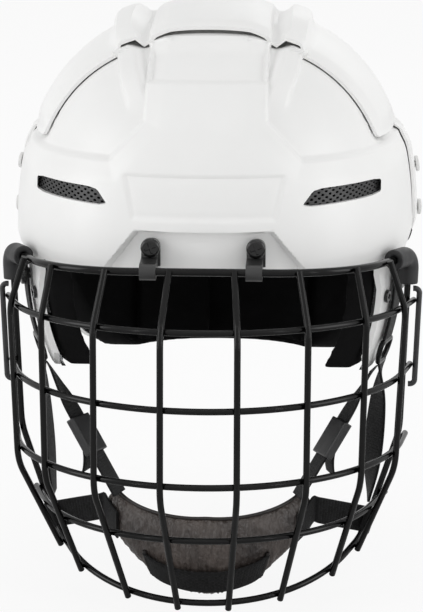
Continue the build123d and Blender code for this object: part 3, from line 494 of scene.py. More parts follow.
# Where the outside of the shell is, straight out to the side of a point
def sideReach(y, z):
    near, far = 0.0, 210.0
    for _ in range(40):
        mid = (near + far) / 2
        near, far = (mid, far) if formValue(mid, y, z) < 1 else (near, mid)
    return near + float(shellRelief(near, y, z))


# Outlines of the two shells in the side view, and of the vent openings in the front view
frontOutline = [(-161, -1), (-76, -1), (-67, -19), (-65, -57), (-54, -66), (-45, -66), (-38.5, -57),
                (-34, -30), (-25, -12.5), (-16, -8), (34, -8), (34, 52), (-25, 67), (-25, 160.5),
                (-161, 160.5)]
napeLine = []
for k in range(17):
    quarter = math.radians(90 * k / 16)
    napeLine.append((46 + 20 * (1 - math.cos(quarter)), -13 - 67 * math.sin(quarter)))
rearOutline = [(-58, 62), (3, 62), (8, 57), (8, -8)] + napeLine + [(168, -80), (168, 200), (-58, 200)]
ventOutline = [(91.0, 43.5), (56.5, 43.0), (49.5, 34.0), (91.0, 35.4)]

# Where each shell is seen from, and the degrees that its grid covers, with their steps
shellGrid = {"frontCentre": (0, 60, 57), "frontTurn": 78, "fineTurn": 34, "frontTilt": (-70, -19, 15, 42),
             "fineStep": 0.28, "topStep": 0.62, "wideStep": 1.1, "rearCentre": (0, -10, -10),
             "rearTurn": 77, "rearTilt": (57, 232), "rearTurnStep": 0.85, "rearTiltStep": 0.62,
             "innerStep": 1.6, "innerReach": 2.5, "barHalf": 150}


def spacedAngles(stops):
    parts = []
    for low, high, step in stops:
        parts.append(np.linspace(low, high, max(2, round((high - low) / step)), endpoint=False))
    return np.radians(np.append(np.concatenate(parts), stops[-1][1]))


# A sheet closed by a fan of faces that meet at the centre it was seen from
def closedBowl(name, points, centre):
    bowl = laySheet(name, points)
    editAll(bowl)
    bpy.ops.mesh.select_mode(type="EDGE")
    bpy.ops.mesh.region_to_loop()
    bpy.ops.mesh.extrude_edges_move()
    bpy.ops.mesh.select_mode(type="VERT")
    bpy.ops.mesh.merge(type="CENTER")
    bpy.ops.object.mode_set(mode="OBJECT")
    tip = [v for v in bowl.data.vertices if v.select]
    tip[0].co = Vector(centre) * mm
    outwards(bowl)
    return bowl


def makeFrontShell():
    grid, centre, wall = shellGrid, shellGrid["frontCentre"], shellForm["wall"]
    fine, end, reach = grid["fineTurn"], grid["frontTurn"], grid["innerReach"]
    low, brow, band, high = grid["frontTilt"]
    turns = spacedAngles([(-end, -fine, grid["wideStep"]), (-fine, fine, grid["fineStep"]),
                          (fine, end, grid["wideStep"])])
    tilts = spacedAngles([(low, brow, grid["wideStep"]), (brow, band, grid["fineStep"]),
                          (band, high, grid["topStep"])])
    skin = skinPoints(centre, turns, tilts, tongueValue, frontRelief, 0)
    shell = closedBowl("frontShell", skin, centre)
    step = grid["innerStep"]
    turns = spacedAngles([(-end - reach, -fine, step), (-fine, fine, step / 2), (fine, end + reach, step)])
    tilts = spacedAngles([(low - reach, brow, step), (brow, band, step / 2), (band, high + reach, step)])
    skin = skinPoints(centre, turns, tilts, tongueValue, frontRelief, -wall)
    carve(shell, closedBowl("frontHollow", skin, centre), "DIFFERENCE")
    carve(shell, cutBar("frontSideBar", frontOutline, "x", -grid["barHalf"], grid["barHalf"]), "INTERSECT")
    for side in (-1, 1):
        outline = roundOutline([(side * x, z) for x, z in ventOutline], 0.12, 2)
        carve(shell, cutBar("ventBar", outline, "y", -170, -20), "DIFFERENCE")
    return shell


def makeRearShell():
    grid, centre, gap = shellGrid, shellGrid["rearCentre"], shellForm["gap"]
    end, reach, (low, high) = grid["rearTurn"], grid["innerReach"], grid["rearTilt"]
    turns = spacedAngles([(-end, end, grid["rearTurnStep"])])
    tilts = spacedAngles([(low, high, grid["rearTiltStep"])])
    skin = skinPoints(centre, turns, tilts, formValue, rearOuterRelief, gap + shellForm["wall"])
    shell = closedBowl("rearShell", skin, centre)
    turns = spacedAngles([(-end - reach, end + reach, grid["innerStep"])])
    tilts = spacedAngles([(low - reach, high + reach, grid["innerStep"])])
    skin = skinPoints(centre, turns, tilts, formValue, rearInnerRelief, gap)
    carve(shell, closedBowl("rearHollow", skin, centre), "DIFFERENCE")
    carve(shell, cutBar("rearSideBar", rearOutline, "x", -grid["barHalf"], grid["barHalf"]), "INTERSECT")
    return shell


frontShell = makeFrontShell()
smoothBy(frontShell, 32)
dress(frontShell, whiteShell)
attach(frontShell, "helmet")
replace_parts(frontShell, "front_shell")
rearShell = makeRearShell()
smoothBy(rearShell, 32)
dress(rearShell, whiteShell)
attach(rearShell, "rear")
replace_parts(rearShell, "rear_shell")
print("shells made:", len(frontShell.data.polygons), len(rearShell.data.polygons))


# Soft moulded pieces: the solid's own form, remeshed on a grid of so many millimetres and smoothed
def softCopy(name, node, body, voxel, passes, material):
    copy = bpy.data.objects.new(name, nodes[node].data.copy())
    bpy.context.scene.collection.objects.link(copy)
    editAll(copy)
    bpy.ops.mesh.remove_doubles(threshold=0.00002)
    bpy.ops.object.mode_set(mode="OBJECT")
    grain = copy.modifiers.new("grain", "REMESH")
    grain.mode = "VOXEL"
    grain.voxel_size = voxel * mm
    relax = copy.modifiers.new("relax", "SMOOTH")
    relax.iterations = passes
    relax.factor = 0.5
    applyAll(copy)
    smoothBy(copy, 60)
    dress(copy, material)
    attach(copy, body)
    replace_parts(copy, node)
    return copy


# Solid, body, grid size in millimetres, smoothing passes, and how much of the pad is filled
foamPieces = {"frontLiner": ("front_liner", "helmet", 1.8, 3, 0.9),
              "browPad": ("brow_pad", "helmet", 1.5, 8, 0.7),
              "sideLinerLeft": ("side_liner_left", "helmet", 1.8, 4, 0.9),
              "sideLinerRight": ("side_liner_right", "helmet", 1.8, 4, 0.9),
              "templePadLeft": ("temple_pad_left", "helmet", 1.6, 8, 0.7),
              "templePadRight": ("temple_pad_right", "helmet", 1.6, 8, 0.7),
              "rearLiner": ("rear_liner", "rear", 2.2, 3, 0.9),
              "napePads": ("nape_pads", "rear", 1.4, 8, 0.7)}
for name, (node, body, voxel, passes, fill) in foamPieces.items():
    softCopy(name, node, body, voxel, passes, blackFoam)
for end in ("left", "right"):
    softCopy("templeCap_" + end, "temple_cap_" + end, "cage", 0.6, 5, blackRubber)
    softCopy("strapSlider_" + end, "strap_slider_" + end, "slider_" + end, 0.45, 2, sliderPlastic)
print("foam and rubber made")


# Where the outside of the front shell is, straight ahead of a point
def frontReach(x, z):
    near, far = 0.0, 240.0
    for _ in range(40):
        mid = (near + far) / 2
        near, far = (mid, far) if formValue(x, -mid, z) < 1 else (near, mid)
    return -near - float(frontRelief(np.array(x), np.array(-near), np.array(z)))


# Clips: a rubbery strap in two plies, screwed to the brow and wrapped round the top bar
clip = {"x": 27.0, "width": 8.4, "shift": 0.6, "ply": 2.1, "screwZ": 14.5, "barY": -135.0, "barZ": 4.0,
        "bore": 2.08, "outer": 4.28, "top": 4.4, "edge": 0.45, "seatX": 22.2, "seatSink": 0.4,
        "pliesApart": 0.1, "heelZ": 1.6, "bendZ": 9.2, "backZ": 4.2, "footZ": -8}


# A strap end in the front view: straight sides from below, and a round top about the screw
def roundTongue(low, high, middle):
    radius = clip["width"] / 2
    points = [(low, clip["footZ"]), (high, clip["footZ"])]
    for k in range(13):
        turn = math.radians(15 * k)
        points.append((middle + radius * math.cos(turn), clip["screwZ"] + radius * math.sin(turn)))
    return points


def makeClip(name, side):
    x, half, shift, ply = clip["x"] * side, clip["width"] / 2, clip["shift"], clip["ply"]
    seat = frontReach(clip["seatX"], clip["screwZ"]) - clip["seatSink"]
    front = seat - ply * 2 - clip["pliesApart"]
    wrap = []
    for k in range(19):
        turn = math.radians(75 + 11.5 * k)
        wrap.append((clip["barY"] + clip["outer"] * math.cos(turn),
                     clip["barZ"] + clip["outer"] * math.sin(turn)))
    high = clip["screwZ"] + clip["top"]
    outline = wrap + [(seat - ply - 0.3, clip["heelZ"]), (seat - ply - 0.2, high), (front, high),
                      (front, clip["bendZ"])]
    strap = cutBar(name, outline, "x", x - half - shift, x + half - shift)
    bore = cutBar("clipBore", [(clip["barY"] + clip["bore"] * math.cos(math.radians(15 * k)),
                                clip["barZ"] + clip["bore"] * math.sin(math.radians(15 * k)))
                               for k in range(24)], "x", x - 9, x + 9)
    carve(strap, bore, "DIFFERENCE")
    tongue = roundTongue(x - half - shift, x + half - shift, x - shift)
    carve(strap, cutBar("clipTongue", tongue, "y", -150, -100), "INTERSECT")
    outline = [(seat - ply, clip["backZ"]), (seat, clip["backZ"]), (seat, high), (seat - ply, high)]
    back = cutBar("clipBack", outline, "x", x - half + shift * 2, x + half + shift)
    tongue = roundTongue(x - half + shift * 2, x + half + shift, x + shift)
    carve(back, cutBar("clipTongue", tongue, "y", -150, -100), "INTERSECT")
    for part in (strap, back):
        pickOnly(part)
        edge = part.modifiers.new("edge", "BEVEL")  # the rounded rim of moulded rubber
        edge.width = clip["edge"] * mm
        edge.segments = 3
        edge.angle_limit = math.radians(40)
        applyAll(part)
    pickOnly(back)
    strap.select_set(True)
    bpy.context.view_layer.objects.active = strap
    bpy.ops.object.join()
    smoothBy(strap, 35)
    dress(strap, blackClip)
    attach(strap, "helmet")
    return strap


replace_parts(makeClip("clipRight", -1), "cage_clip_right")
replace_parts(makeClip("clipLeft", 1), "cage_clip_left")
print("clips made")


# Vent plates: staggered oval holes, behind the openings in the shell
ventPlate = {"turnLow": 14.5, "turnHigh": 41.5, "tiltLow": -13.0, "tiltHigh": -3.0, "turnStep": 0.72,
             "tiltStep": 0.5, "rim": 0.2, "thick": 1.2, "lap": 2.6, "sink": 2.95, "innerX": 49.5,
             "bendX": 56.5, "outerX": 91.0, "innerTop": 34.0, "outerTop": 43.2, "bendRise": 9.0,
             "footZ": 34.0, "footRise": 1.4}


# Whether a point in the front view lies in the opening, or within so many millimetres of it
def insideVent(x, z, grow):
    plate = ventPlate
    across = abs(x) - plate["innerX"]
    slope = across / (plate["bendX"] - plate["innerX"])
    high = min(plate["outerTop"] + grow, plate["innerTop"] + plate["bendRise"] * slope + grow * 1.6)
    low = plate["footZ"] + plate["footRise"] * across / (plate["outerX"] - plate["innerX"]) - grow
    return low < z < high and abs(x) < plate["outerX"] + grow


def makeVentPlate(name, side):
    plate = ventPlate
    # Every other face of a fine grid becomes a hole, which the subdivision makes oval
    columns = round((plate["turnHigh"] - plate["turnLow"]) / plate["turnStep"]) + 1
    rows = round((plate["tiltHigh"] - plate["tiltLow"]) / plate["tiltStep"]) + 1
    turns = np.radians(np.linspace(plate["turnLow"], plate["turnHigh"], columns)) * side
    tilts = np.radians(np.linspace(plate["tiltLow"], plate["tiltHigh"], rows))
    skin = skinPoints(shellGrid["frontCentre"], turns, tilts, tongueValue, frontRelief, -plate["sink"])
    sheet = laySheet(name, skin)
    keep = []
    for face in sheet.data.polygons:
        x, _, z = face.center / mm
        row, column = divmod(face.index, columns - 1)
        keep.append((insideVent(x, z, plate["lap"]), (row + column) % 2 == 0))
    pickOnly(sheet)
    bpy.ops.object.mode_set(mode="EDIT")
    bpy.ops.mesh.select_mode(type="FACE")
    bpy.ops.mesh.select_all(action="DESELECT")
    bpy.ops.object.mode_set(mode="OBJECT")
    for face, (inside, hole) in zip(sheet.data.polygons, keep):
        face.select = hole and inside
    bpy.ops.object.mode_set(mode="EDIT")
    bpy.ops.mesh.inset(thickness=plate["rim"] * mm, use_individual=True)
    bpy.ops.mesh.delete(type="FACE")
    bpy.ops.object.mode_set(mode="OBJECT")
    for face in sheet.data.polygons:
        x, _, z = face.center / mm
        face.select = not insideVent(x, z, plate["lap"])
    bpy.ops.object.mode_set(mode="EDIT")
    bpy.ops.mesh.delete(type="FACE")
    bpy.ops.mesh.select_all(action="SELECT")
    bpy.ops.mesh.delete_loose()
    bpy.ops.object.mode_set(mode="OBJECT")
    thicken = sheet.modifiers.new("thicken", "SOLIDIFY")
    thicken.thickness = plate["thick"] * mm
    thicken.offset = 0
    soften = sheet.modifiers.new("soften", "SUBSURF")
    soften.levels = soften.render_levels = 1
    applyAll(sheet)
    outwards(sheet)
    smoothBy(sheet, 50)
    dress(sheet, blackMesh)
    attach(sheet, "helmet")
    return sheet


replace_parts(makeVentPlate("ventPlateRight", -1), "vent_mesh_right")
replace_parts(makeVentPlate("ventPlateLeft", 1), "vent_mesh_left")
print("vent plates made")


lineStep = 1.2  # millimetres between the rows of a strap or a tube


# A smooth line through all the points
def smoothLine(points):
    points = [np.array(p, dtype=float) for p in points]
    ends = [points[0] * 2 - points[1]] + points + [points[-1] * 2 - points[-2]]
    line = []
    for a, b, c, d in zip(ends, ends[1:], ends[2:], ends[3:]):
        count = max(1, round(np.linalg.norm(c[:3] - b[:3]) / lineStep))
        for k in range(count):
            t = k / count
            line.append(b + (c - a) * t / 2 + (a * 2 - b * 5 + c * 4 - d) * t ** 2 / 2
                        + (b * 3 - a - c * 3 + d) * t ** 3 / 2)
    return np.array(line + [points[-1]])


# A strap of webbing through stations, each with its place, its way across and its way out.
# Its own coordinates run across and along it in millimetres
def makeStrap(name, stations, width, thick):
    rows = smoothLine([np.concatenate([np.array(part) for part in station]) for station in stations])
    flat, rim = width / 2 - thick / 2, thick / 2
    edge = [(math.sin(math.pi * k / 4), math.cos(math.pi * k / 4)) for k in (1, 2, 3)]
    ring = [(u, rim) for u in np.linspace(-flat, flat, 9)]
    ring += [(flat + rim * out, rim * up) for out, up in edge]
    ring += [(u, -rim) for u in np.linspace(flat, -flat, 9)]
    ring += [(-flat - rim * out, -rim * up) for out, up in edge]
    ring.append(ring[0])
    points, along = [], [0.0]
    for k, row in enumerate(rows):
        across = row[3:6] / np.linalg.norm(row[3:6])
        out = row[6:9] - across * row[6:9].dot(across)
        out /= np.linalg.norm(out)
        points.append([row[:3] + across * u + out * w for u, w in ring])
        if k:
            along.append(along[-1] + np.linalg.norm(row[:3] - rows[k - 1][:3]))
    strap = laySheet(name, np.array(points))
    marks = strap.data.uv_layers[0] if strap.data.uv_layers else strap.data.uv_layers.new(name="weave")
    for loop in strap.data.loops:
        row, column = divmod(loop.vertex_index, len(ring))
        marks.data[loop.index].uv = (ring[column][0], along[row])
    closeEnds(strap)
    smoothBy(strap, 60)
    dress(strap, blackWebbing)
    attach(strap, "cage")
    return strap


# A station on the side of the shell: its place, the way along the shell, and the way out
def sideStation(side, y, z, lift):
    reach = 5.0
    leanY = (sideReach(y + reach, z) - sideReach(y - reach, z)) / (reach * 2)
    leanZ = (sideReach(y, z + reach) - sideReach(y, z - reach)) / (reach * 2)
    out = np.array([side, -leanY, -leanZ])
    out /= np.linalg.norm(out)
    along = np.array([side * leanY, 1, 0])
    along /= np.linalg.norm(along)
    return np.array([side * sideReach(y, z), y, z]) + out * lift, along, out


# The bent side wire of the cage that the straps hold on to, from its foot over its bend to its top
rimWire = {"foot": (84.0, -65.0, -157.5), "bend": (103.5, -63.0, -98.0), "top": (106.9, -63.0, -1.04),
           "radius": 1.7}


def rimSpot(side, z):
    (lowX, lowY, lowZ), (highX, highY, highZ) = (
        (rimWire["bend"], rimWire["top"]) if z > rimWire["bend"][2] else (rimWire["foot"], rimWire["bend"]))
    share = (z - lowZ) / (highZ - lowZ)
    return np.array([side * (lowX + (highX - lowX) * share), lowY + (highY - lowY) * share, z])


# Chin cup: a thick curved pad on a rounded plan, held in the webbing
cup = {"axisY": -60.0, "reach": 46.0, "endReach": 58.0, "top": -139.0, "wingTop": -131.0, "low": -187.0,
       "wingLow": -148.0, "curl": 17.0, "thick": 8.0, "turn": 78.0, "columns": 200, "ring": 56,
       "topSink": 6.0, "middleSink": 4.0, "middleRise": 1.0, "lowSink": 2.0, "lowRise": 2.6,
       "endStart": 70.0, "corner": 0.62, "half": 3.9, "edgeThinner": 1.1, "crease": 1.0, "foldShare": 1.2,
       "fineShare": 0.4, "pipe": 0.9, "pipeTurn": 73.0, "slotTurn": 39.5, "binding": 1.1}


# Top edge, middle and low edge of the cup at so many degrees from its front
def cupLevels(turn):
    share = (turn / cup["turn"]) ** 2
    top = cup["top"] + (cup["wingTop"] - cup["top"]) * share
    low = cup["low"] + (cup["wingLow"] - cup["low"]) * share
    return top, (top * 2 + low) / 3, low


def cupReach(turn):
    return cup["reach"] + (cup["endReach"] - cup["reach"]) * abs(turn) / cup["turn"]


def cupSpot(turn, out, z):
    swing = math.radians(turn)
    return np.array([out * math.sin(swing), cup["axisY"] - out * math.cos(swing), z])


# The arc through three (out, z) points, as centre, radius, first and last angle
def arcThrough(a, b, c):
    (ax, az), (bx, bz), (cx, cz) = a, b, c
    twice = 2 * (ax * (bz - cz) + bx * (cz - az) + cx * (az - bz))
    aa, bb, cc = ax ** 2 + az ** 2, bx ** 2 + bz ** 2, cx ** 2 + cz ** 2
    midOut = (aa * (bz - cz) + bb * (cz - az) + cc * (az - bz)) / twice
    midZ = (aa * (cx - bx) + bb * (ax - cx) + cc * (bx - ax)) / twice
    first, last = math.atan2(az - midZ, ax - midOut), math.atan2(cz - midZ, cx - midOut)
    return midOut, midZ, math.hypot(ax - midOut, az - midZ), first, last


# A point so far down the outside of the cup, and the way out of it there
def cupSkin(turn, share, lift):
    top, middle, low = cupLevels(turn)
    reach, curl = cupReach(turn), cup["curl"] * (1 - (turn / cup["turn"]) ** 2)
    midOut, midZ, radius, first, last = arcThrough((reach - cup["thick"] / 2, top), (reach, middle),
                                                   (reach - curl, low))
    angle = first + (last - first) * share
    outR, outZ = math.cos(angle), math.sin(angle)
    return cupSpot(turn, midOut + (radius + lift) * outR, midZ + (radius + lift) * outZ), (outR, outZ)


# Each row is a rounded section of the pad, which closes to a point at both ends of the cup
def makeCup():
    points = []
    for turn in np.linspace(-cup["turn"], cup["turn"], cup["columns"]):
        top, middle, low = cupLevels(turn)
        reach, curl = cupReach(turn), cup["curl"] * (1 - (turn / cup["turn"]) ** 2)
        midOut, midZ, radius, first, last = arcThrough(
            (reach - cup["topSink"], top), (reach - cup["middleSink"], middle + cup["middleRise"]),
            (reach - curl - cup["lowSink"], low + cup["lowRise"]))
        end = max(0.0, (abs(turn) - cup["endStart"]) / (cup["turn"] - cup["endStart"]))
        size = math.sqrt(max(0.0, 1 - end ** 2.5))
        thinner = (0.35 + 0.65 * size) * (size > 0)
        row = []
        for k in range(cup["ring"]):
            phase = 2 * math.pi * k / (cup["ring"] - 1)
            down, deep = math.cos(phase), math.sin(phase)
            down = math.copysign(abs(down) ** cup["corner"], down) * size
            deep = math.copysign(abs(deep) ** cup["corner"], deep) * thinner
            angle = (first + last) / 2 + (last - first) / 2 * down
            out = radius + deep * (cup["half"] - cup["edgeThinner"] * abs(down) ** 3)
            spot = cupSpot(turn, midOut + out * math.cos(angle), midZ + out * math.sin(angle))
            # Folds about 3 degrees wide, others about 1 degree wide, and fine creases between them
            fold = noise.noise(Vector((turn * 0.34, down * 1.6, deep)))
            fold += 0.6 * noise.noise(Vector((turn * 0.9 + 40, down * 3.1, deep)))
            fine = noise.noise(Vector((turn * 2.4, down * 5 + 9, deep * 2)))
            push = cup["crease"] * (fold * cup["foldShare"] + fine * cup["fineShare"]) * size
            way = cupSpot(turn, math.cos(angle), math.sin(angle)) - cupSpot(turn, 0, 0)
            row.append(spot + way * push * deep)
        points.append(row)
    pad = laySheet("chinPad", np.array(points))
    editAll(pad)
    bpy.ops.mesh.remove_doubles(threshold=0.00002)
    bpy.ops.object.mode_set(mode="OBJECT")
    outwards(pad)
    smoothBy(pad, 80)
    dress(pad, padVinyl)
    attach(pad, "cage")
    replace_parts(pad, "chin_cup")


makeCup()
print("chin cup made")

# Sling: woven band that comes out of a slot on each side and runs under the front of the cup
sling = {"turn": 40, "share": 0.65, "width": 15.5, "thick": 1.5, "lift": 1.0, "endLift": 0.3}
slingStations = []
for turn in np.linspace(-sling["turn"], sling["turn"], 13):
    lift = sling["lift"] if abs(turn) < sling["turn"] - 4 else sling["endLift"]
    spot, (outR, outZ) = cupSkin(turn, sling["share"], lift)
    middle = cupSpot(turn, 0, 0)
    slingStations.append((spot, cupSpot(turn, -outZ, outR) - middle, cupSpot(turn, outR, outZ) - middle))
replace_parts(makeStrap("slingStrap", slingStations, sling["width"], sling["thick"]), "sling_web")


# Side straps: from the snap on the shell down to a ring, and from the ring to the side wire and the jaw
strapSet = {"snapWide": 16, "sideWide": 16, "hangerWide": 15, "hangerDrop": 3.0, "jawWide": 15,
            "thick": 1.5, "snapTop": -7, "snapY": -48, "ringZ": -49, "ringDrop": 15.8, "sideOffset": 5.0,
            "jawOffset": -11.25, "lift": 2.25, "wrapZ": -147, "hold": 2.75, "jawTurn": 68, "tailWide": 14,
            "tailThick": 1.2, "twistLeft": 0.9, "twistRight": 0.3, "hangerTurns": (76, 68, 60),
            "wrapTurns": (215, 255, 295, 335, 15, 55),
            "tail": ((0.5, 1.9), (0.6, 2.4), (0.7, 5.0), (0.8, 9.0), (0.87, 12.5))}


# Where the ring sits, and the ways along the shell, out of it and up
def ringFrame(side):
    spot, along, out = sideStation(side, strapSet["snapY"], strapSet["ringZ"], strapSet["lift"])
    up = np.cross(out, along)
    return spot, along, out, up if up[2] > 0 else -up


def belowRing(side, offset):
    spot, along, _, up = ringFrame(side)
    return spot + along * offset - up * strapSet["ringDrop"]


def snapStations(side):
    levels = np.linspace(strapSet["snapTop"], strapSet["ringZ"], 6)
    return [sideStation(side, strapSet["snapY"], z, strapSet["lift"]) for z in levels]


# The left side strap is twisted more than the right one, as in the photograph
def sideStations(side):
    top = belowRing(side, strapSet["sideOffset"])
    foot = rimSpot(side, strapSet["wrapZ"] + strapSet["hangerWide"] / 2 + 0.3)
    foot = foot + np.array([-side * strapSet["hold"], strapSet["snapWide"] / 2, 0])
    rows = []
    for share in (0, 0.3, 0.65, 1):
        twist = strapSet["twistLeft" if side > 0 else "twistRight"] * math.sin(math.pi * share)
        rows.append((top + (foot - top) * share, (side * ((1 - share) / 4 - twist), 1, 0),
                     (side, twist * 0.8, 0)))
    return rows


# The hanger goes once round the side wire, then inward along the outside of the cup
def hangerStations(side):
    z = strapSet["wrapZ"] - strapSet["hangerDrop"]
    wire = rimSpot(side, z)
    (lowX, lowY, lowZ), (highX, highY, highZ) = rimWire["foot"], rimWire["bend"]
    lean = (side * (highX - lowX) / (highZ - lowZ), (highY - lowY) / (highZ - lowZ), 1)
    rows = []
    for degrees in strapSet["wrapTurns"]:
        turn = math.radians(degrees)
        way = np.array([side * math.cos(turn), math.sin(turn), 0])
        rows.append((wire + way * strapSet["hold"], lean, way))
    start = wire + np.array([0, rimWire["radius"] + strapSet["thick"] / 2 + 0.6, 0])
    ends = [cupSpot(side * turn, cupReach(turn) + 1.2, cupLevels(turn)[1] - strapSet["hangerDrop"])
            for turn in strapSet["hangerTurns"]]
    run = (ends[0] - start) / np.linalg.norm(ends[0] - start)
    for share in (0, 0.5, 0.9):
        rise = np.array(lean) * (1 - share) + np.array([0, 0, 1]) * share
        rows.append((start + (ends[0] - start) * share, rise, (run[1] * side, -run[0] * side, 0)))
    for turn, spot in zip(strapSet["hangerTurns"], ends):
        swing = math.radians(turn)
        rows.append((spot, (0, 0, 1), (-side * math.sin(swing), math.cos(swing), 0)))
    return rows


# A station so far down the jaw strap, which turns from lying on the shell to facing out and back
def jawPlace(side, share):
    turn, along = strapSet["jawTurn"], ringFrame(side)[1]
    top = belowRing(side, strapSet["jawOffset"])
    foot = cupSpot(side * turn, cupReach(turn) - cup["thick"] / 2, cup["wingTop"] - 0.3)
    bent = min(share * 3, 1)
    across = along * (1 - bent) + np.array([-side / 3, 1, 0]) * bent
    return top + (foot - top) * share, across, np.array([side, 1 / 3, 1 / 5])


# Loose end of the jaw strap below its slider, standing off further and further down
def tailStations(side):
    rows = []
    for share, away in strapSet["tail"]:
        spot, across, out = jawPlace(side, share)
        rows.append((spot + out * away, across, out))
    return rows


for side, end in ((-1, "right"), (1, "left")):
    thick = strapSet["thick"]
    jawStations = [jawPlace(side, share) for share in (0, 1 / 6, 1 / 3, 0.65, 1)]
    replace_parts(makeStrap("snapStrap_" + end, snapStations(side), strapSet["snapWide"], thick),
                "snap_web_" + end)
    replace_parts(makeStrap("sideStrap_" + end, sideStations(side), strapSet["sideWide"], thick),
                "side_web_" + end)
    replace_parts(makeStrap("hangerStrap_" + end, hangerStations(side), strapSet["hangerWide"], thick),
                "hanger_web_" + end)
    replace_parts(makeStrap("jawStrap_" + end, jawStations, strapSet["jawWide"], thick), "jaw_web_" + end)
    makeStrap("strapTail_" + end, tailStations(side), strapSet["tailWide"], strapSet["tailThick"])


# Piping sewn along the top edge of the cup, and a bound slot on each side where the sling comes out
def makeTube(name, line, radius):
    rows, points = smoothLine(line), []
    for k, spot in enumerate(rows):
        run = rows[min(k + 1, len(rows) - 1)] - rows[max(k - 1, 0)]
        run /= np.linalg.norm(run)
        first = np.cross(run, [0, 0, 1.0])
        first /= np.linalg.norm(first)
        second = np.cross(run, first)
        points.append([spot + (first * math.cos(t) + second * math.sin(t)) * radius
                       for t in np.linspace(0, 2 * math.pi, 11)])
    tube = laySheet(name, np.array(points))
    closeEnds(tube)
    smoothBy(tube, 60)
    dress(tube, darkPiping)
    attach(tube, "cage")
    return tube


pipeLine = [cupSkin(turn, 0, 0)[0] + cupSpot(turn, -1.2, 0.9) - cupSpot(turn, 0, 0)
            for turn in np.linspace(-cup["pipeTurn"], cup["pipeTurn"], 60)]
makeTube("cupPiping", pipeLine, cup["pipe"])
for side, end in ((-1, "right"), (1, "left")):
    slotLine = [cupSkin(side * cup["slotTurn"], share, 0.55)[0] for share in np.linspace(0.46, 0.84, 9)]
    makeTube("slotBinding_" + end, slotLine, cup["binding"])
print("straps made")

# Materials of the solids that stay as they are
for name, solid in nodes.items():
    if name.startswith("cage_") and "clip" not in name:
        dress(solid, loopWire if "side_loop" in name else blackWire)
for end in ("left", "right"):
    dress(nodes["ear_guard_" + end], clearGuard)
    dress(nodes["d_ring_" + end], blackWire)
    dress(nodes["snap_cap_" + end], blackScrew)
for name in ("cage_clip_screws", "ear_guard_screws", "snap_studs"):
    dress(nodes[name], blackScrew)
for name in ("cage_clip_nuts", "adjuster_nuts"):
    dress(nodes[name], greySteel)
dress(nodes["adjuster_screws"], whiteKnob)

# Floor: pale paper that looks white to the camera and through glass, and still keeps the shadow.
# The lamps, the room and the camera have their values here too
stageSet = {"floorZ": -0.1866, "floorSize": 14.0, "floorGlow": 0.88, "worldStrength": 0.6, "keyPower": 20,
            "fillPower": 17, "topPower": 2, "rimPower": 3, "stripPower": 2.0, "lens": 195.24,
            "cameraAt": (0.06755, -1.26985, 0.25029), "cameraAim": (-0.0026, 0, -0.0448)}
bpy.ops.mesh.primitive_plane_add(size=stageSet["floorSize"], location=(0, 0, stageSet["floorZ"]))
floor = nameLast("paleFloor")
floorPaint, tree, shader, _ = startMaterial("mattPalePaper")
wireUp(tree, shader, {"Base Color": colour("f2f2f2"), "Roughness": 0.9})
glow = addNode(tree, "Emission", {"Color": (1, 1, 1, 1), "Strength": 1.0})
path = addNode(tree, "LightPath", {}).outputs
seen = addNode(tree, "Math", {0: path["Is Camera Ray"], 1: path["Is Transmission Ray"]},
               operation="MAXIMUM")
share = addNode(tree, "Math", {0: seen.outputs["Value"], 1: stageSet["floorGlow"]}, operation="MULTIPLY")
paper = addNode(tree, "MixShader", {0: share.outputs["Value"], 1: shader.outputs["BSDF"],
                                    2: glow.outputs["Emission"]})
wireUp(tree, tree.nodes["Material Output"], {"Surface": paper.outputs["Shader"]})
dress(floor, floorPaint)

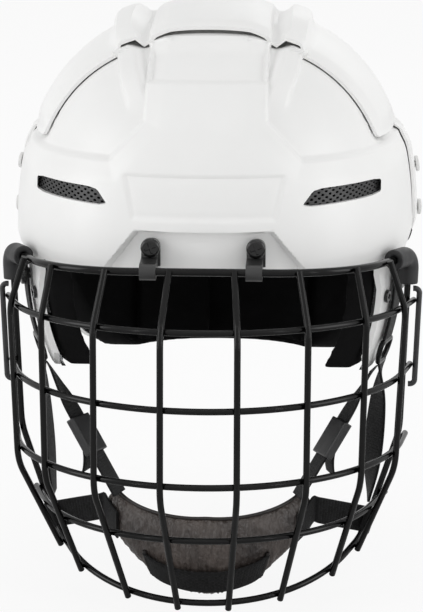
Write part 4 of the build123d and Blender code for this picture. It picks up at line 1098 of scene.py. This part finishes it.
# Room: white to the camera and in reflections, and dimmer as light on the object
world = bpy.data.worlds.new("paleRoom")
bpy.context.scene.world = world
world.use_nodes = True
tree = world.node_tree
tree.nodes.clear()
path = addNode(tree, "LightPath", {}).outputs
mirrored = addNode(tree, "Math", {0: path["Is Glossy Ray"], 1: path["Is Transmission Ray"]},
                   operation="MAXIMUM")
seen = addNode(tree, "Math", {0: path["Is Camera Ray"], 1: mirrored.outputs["Value"]}, operation="MAXIMUM")
room = addNode(tree, "Background", {"Color": (1, 1, 1, 1), "Strength": stageSet["worldStrength"]})
sky = addNode(tree, "Background", {"Color": (1, 1, 1, 1), "Strength": 1.0})
both = addNode(tree, "MixShader", {0: seen.outputs["Value"], 1: room.outputs["Background"],
                                   2: sky.outputs["Background"]})
addNode(tree, "OutputWorld", {"Surface": both.outputs["Shader"]})


# An area lamp that looks at the middle of the helmet
def addLamp(name, place, size, power):
    deselectAll()
    bpy.ops.object.light_add(type="AREA", location=place)
    lamp = bpy.context.object
    lamp.name = name
    lamp.data.shape = "RECTANGLE"
    lamp.data.size, lamp.data.size_y = size
    lamp.data.energy = power
    lamp.rotation_euler = (-Vector(place)).to_track_quat("-Z", "Y").to_euler()


addLamp("keyLamp", (-2.2, -0.8, 0.5), (1.0, 2.0), stageSet["keyPower"])
addLamp("fillLamp", (2.2, -0.7, 0.45), (1.0, 2.0), stageSet["fillPower"])
addLamp("stripLeft", (-1.4, -1.8, 0.9), (0.03, 1.6), stageSet["stripPower"])
addLamp("stripRight", (1.5, -1.7, 0.7), (0.03, 1.6), stageSet["stripPower"])
addLamp("stripTop", (0, -1.5, 1.9), (1.6, 0.03), stageSet["stripPower"] * 0.6)
addLamp("topLamp", (0.1, 0.1, 2.0), (1.6, 1.2), stageSet["topPower"])
addLamp("rimLamp", (0.6, 1.9, 1.1), (1.4, 1.0), stageSet["rimPower"])

deselectAll()
bpy.ops.object.camera_add(location=stageSet["cameraAt"])
camera = bpy.context.object
camera.name = "photoCamera"
aim = Vector(stageSet["cameraAim"]) - camera.location
camera.rotation_euler = aim.to_track_quat("-Z", "Y").to_euler()
camera.data.sensor_fit = "HORIZONTAL"
camera.data.sensor_width = 36.0
camera.data.lens = stageSet["lens"]
bpy.context.scene.camera = camera
bpy.context.scene.view_settings.view_transform = "Standard"
print("stage set")
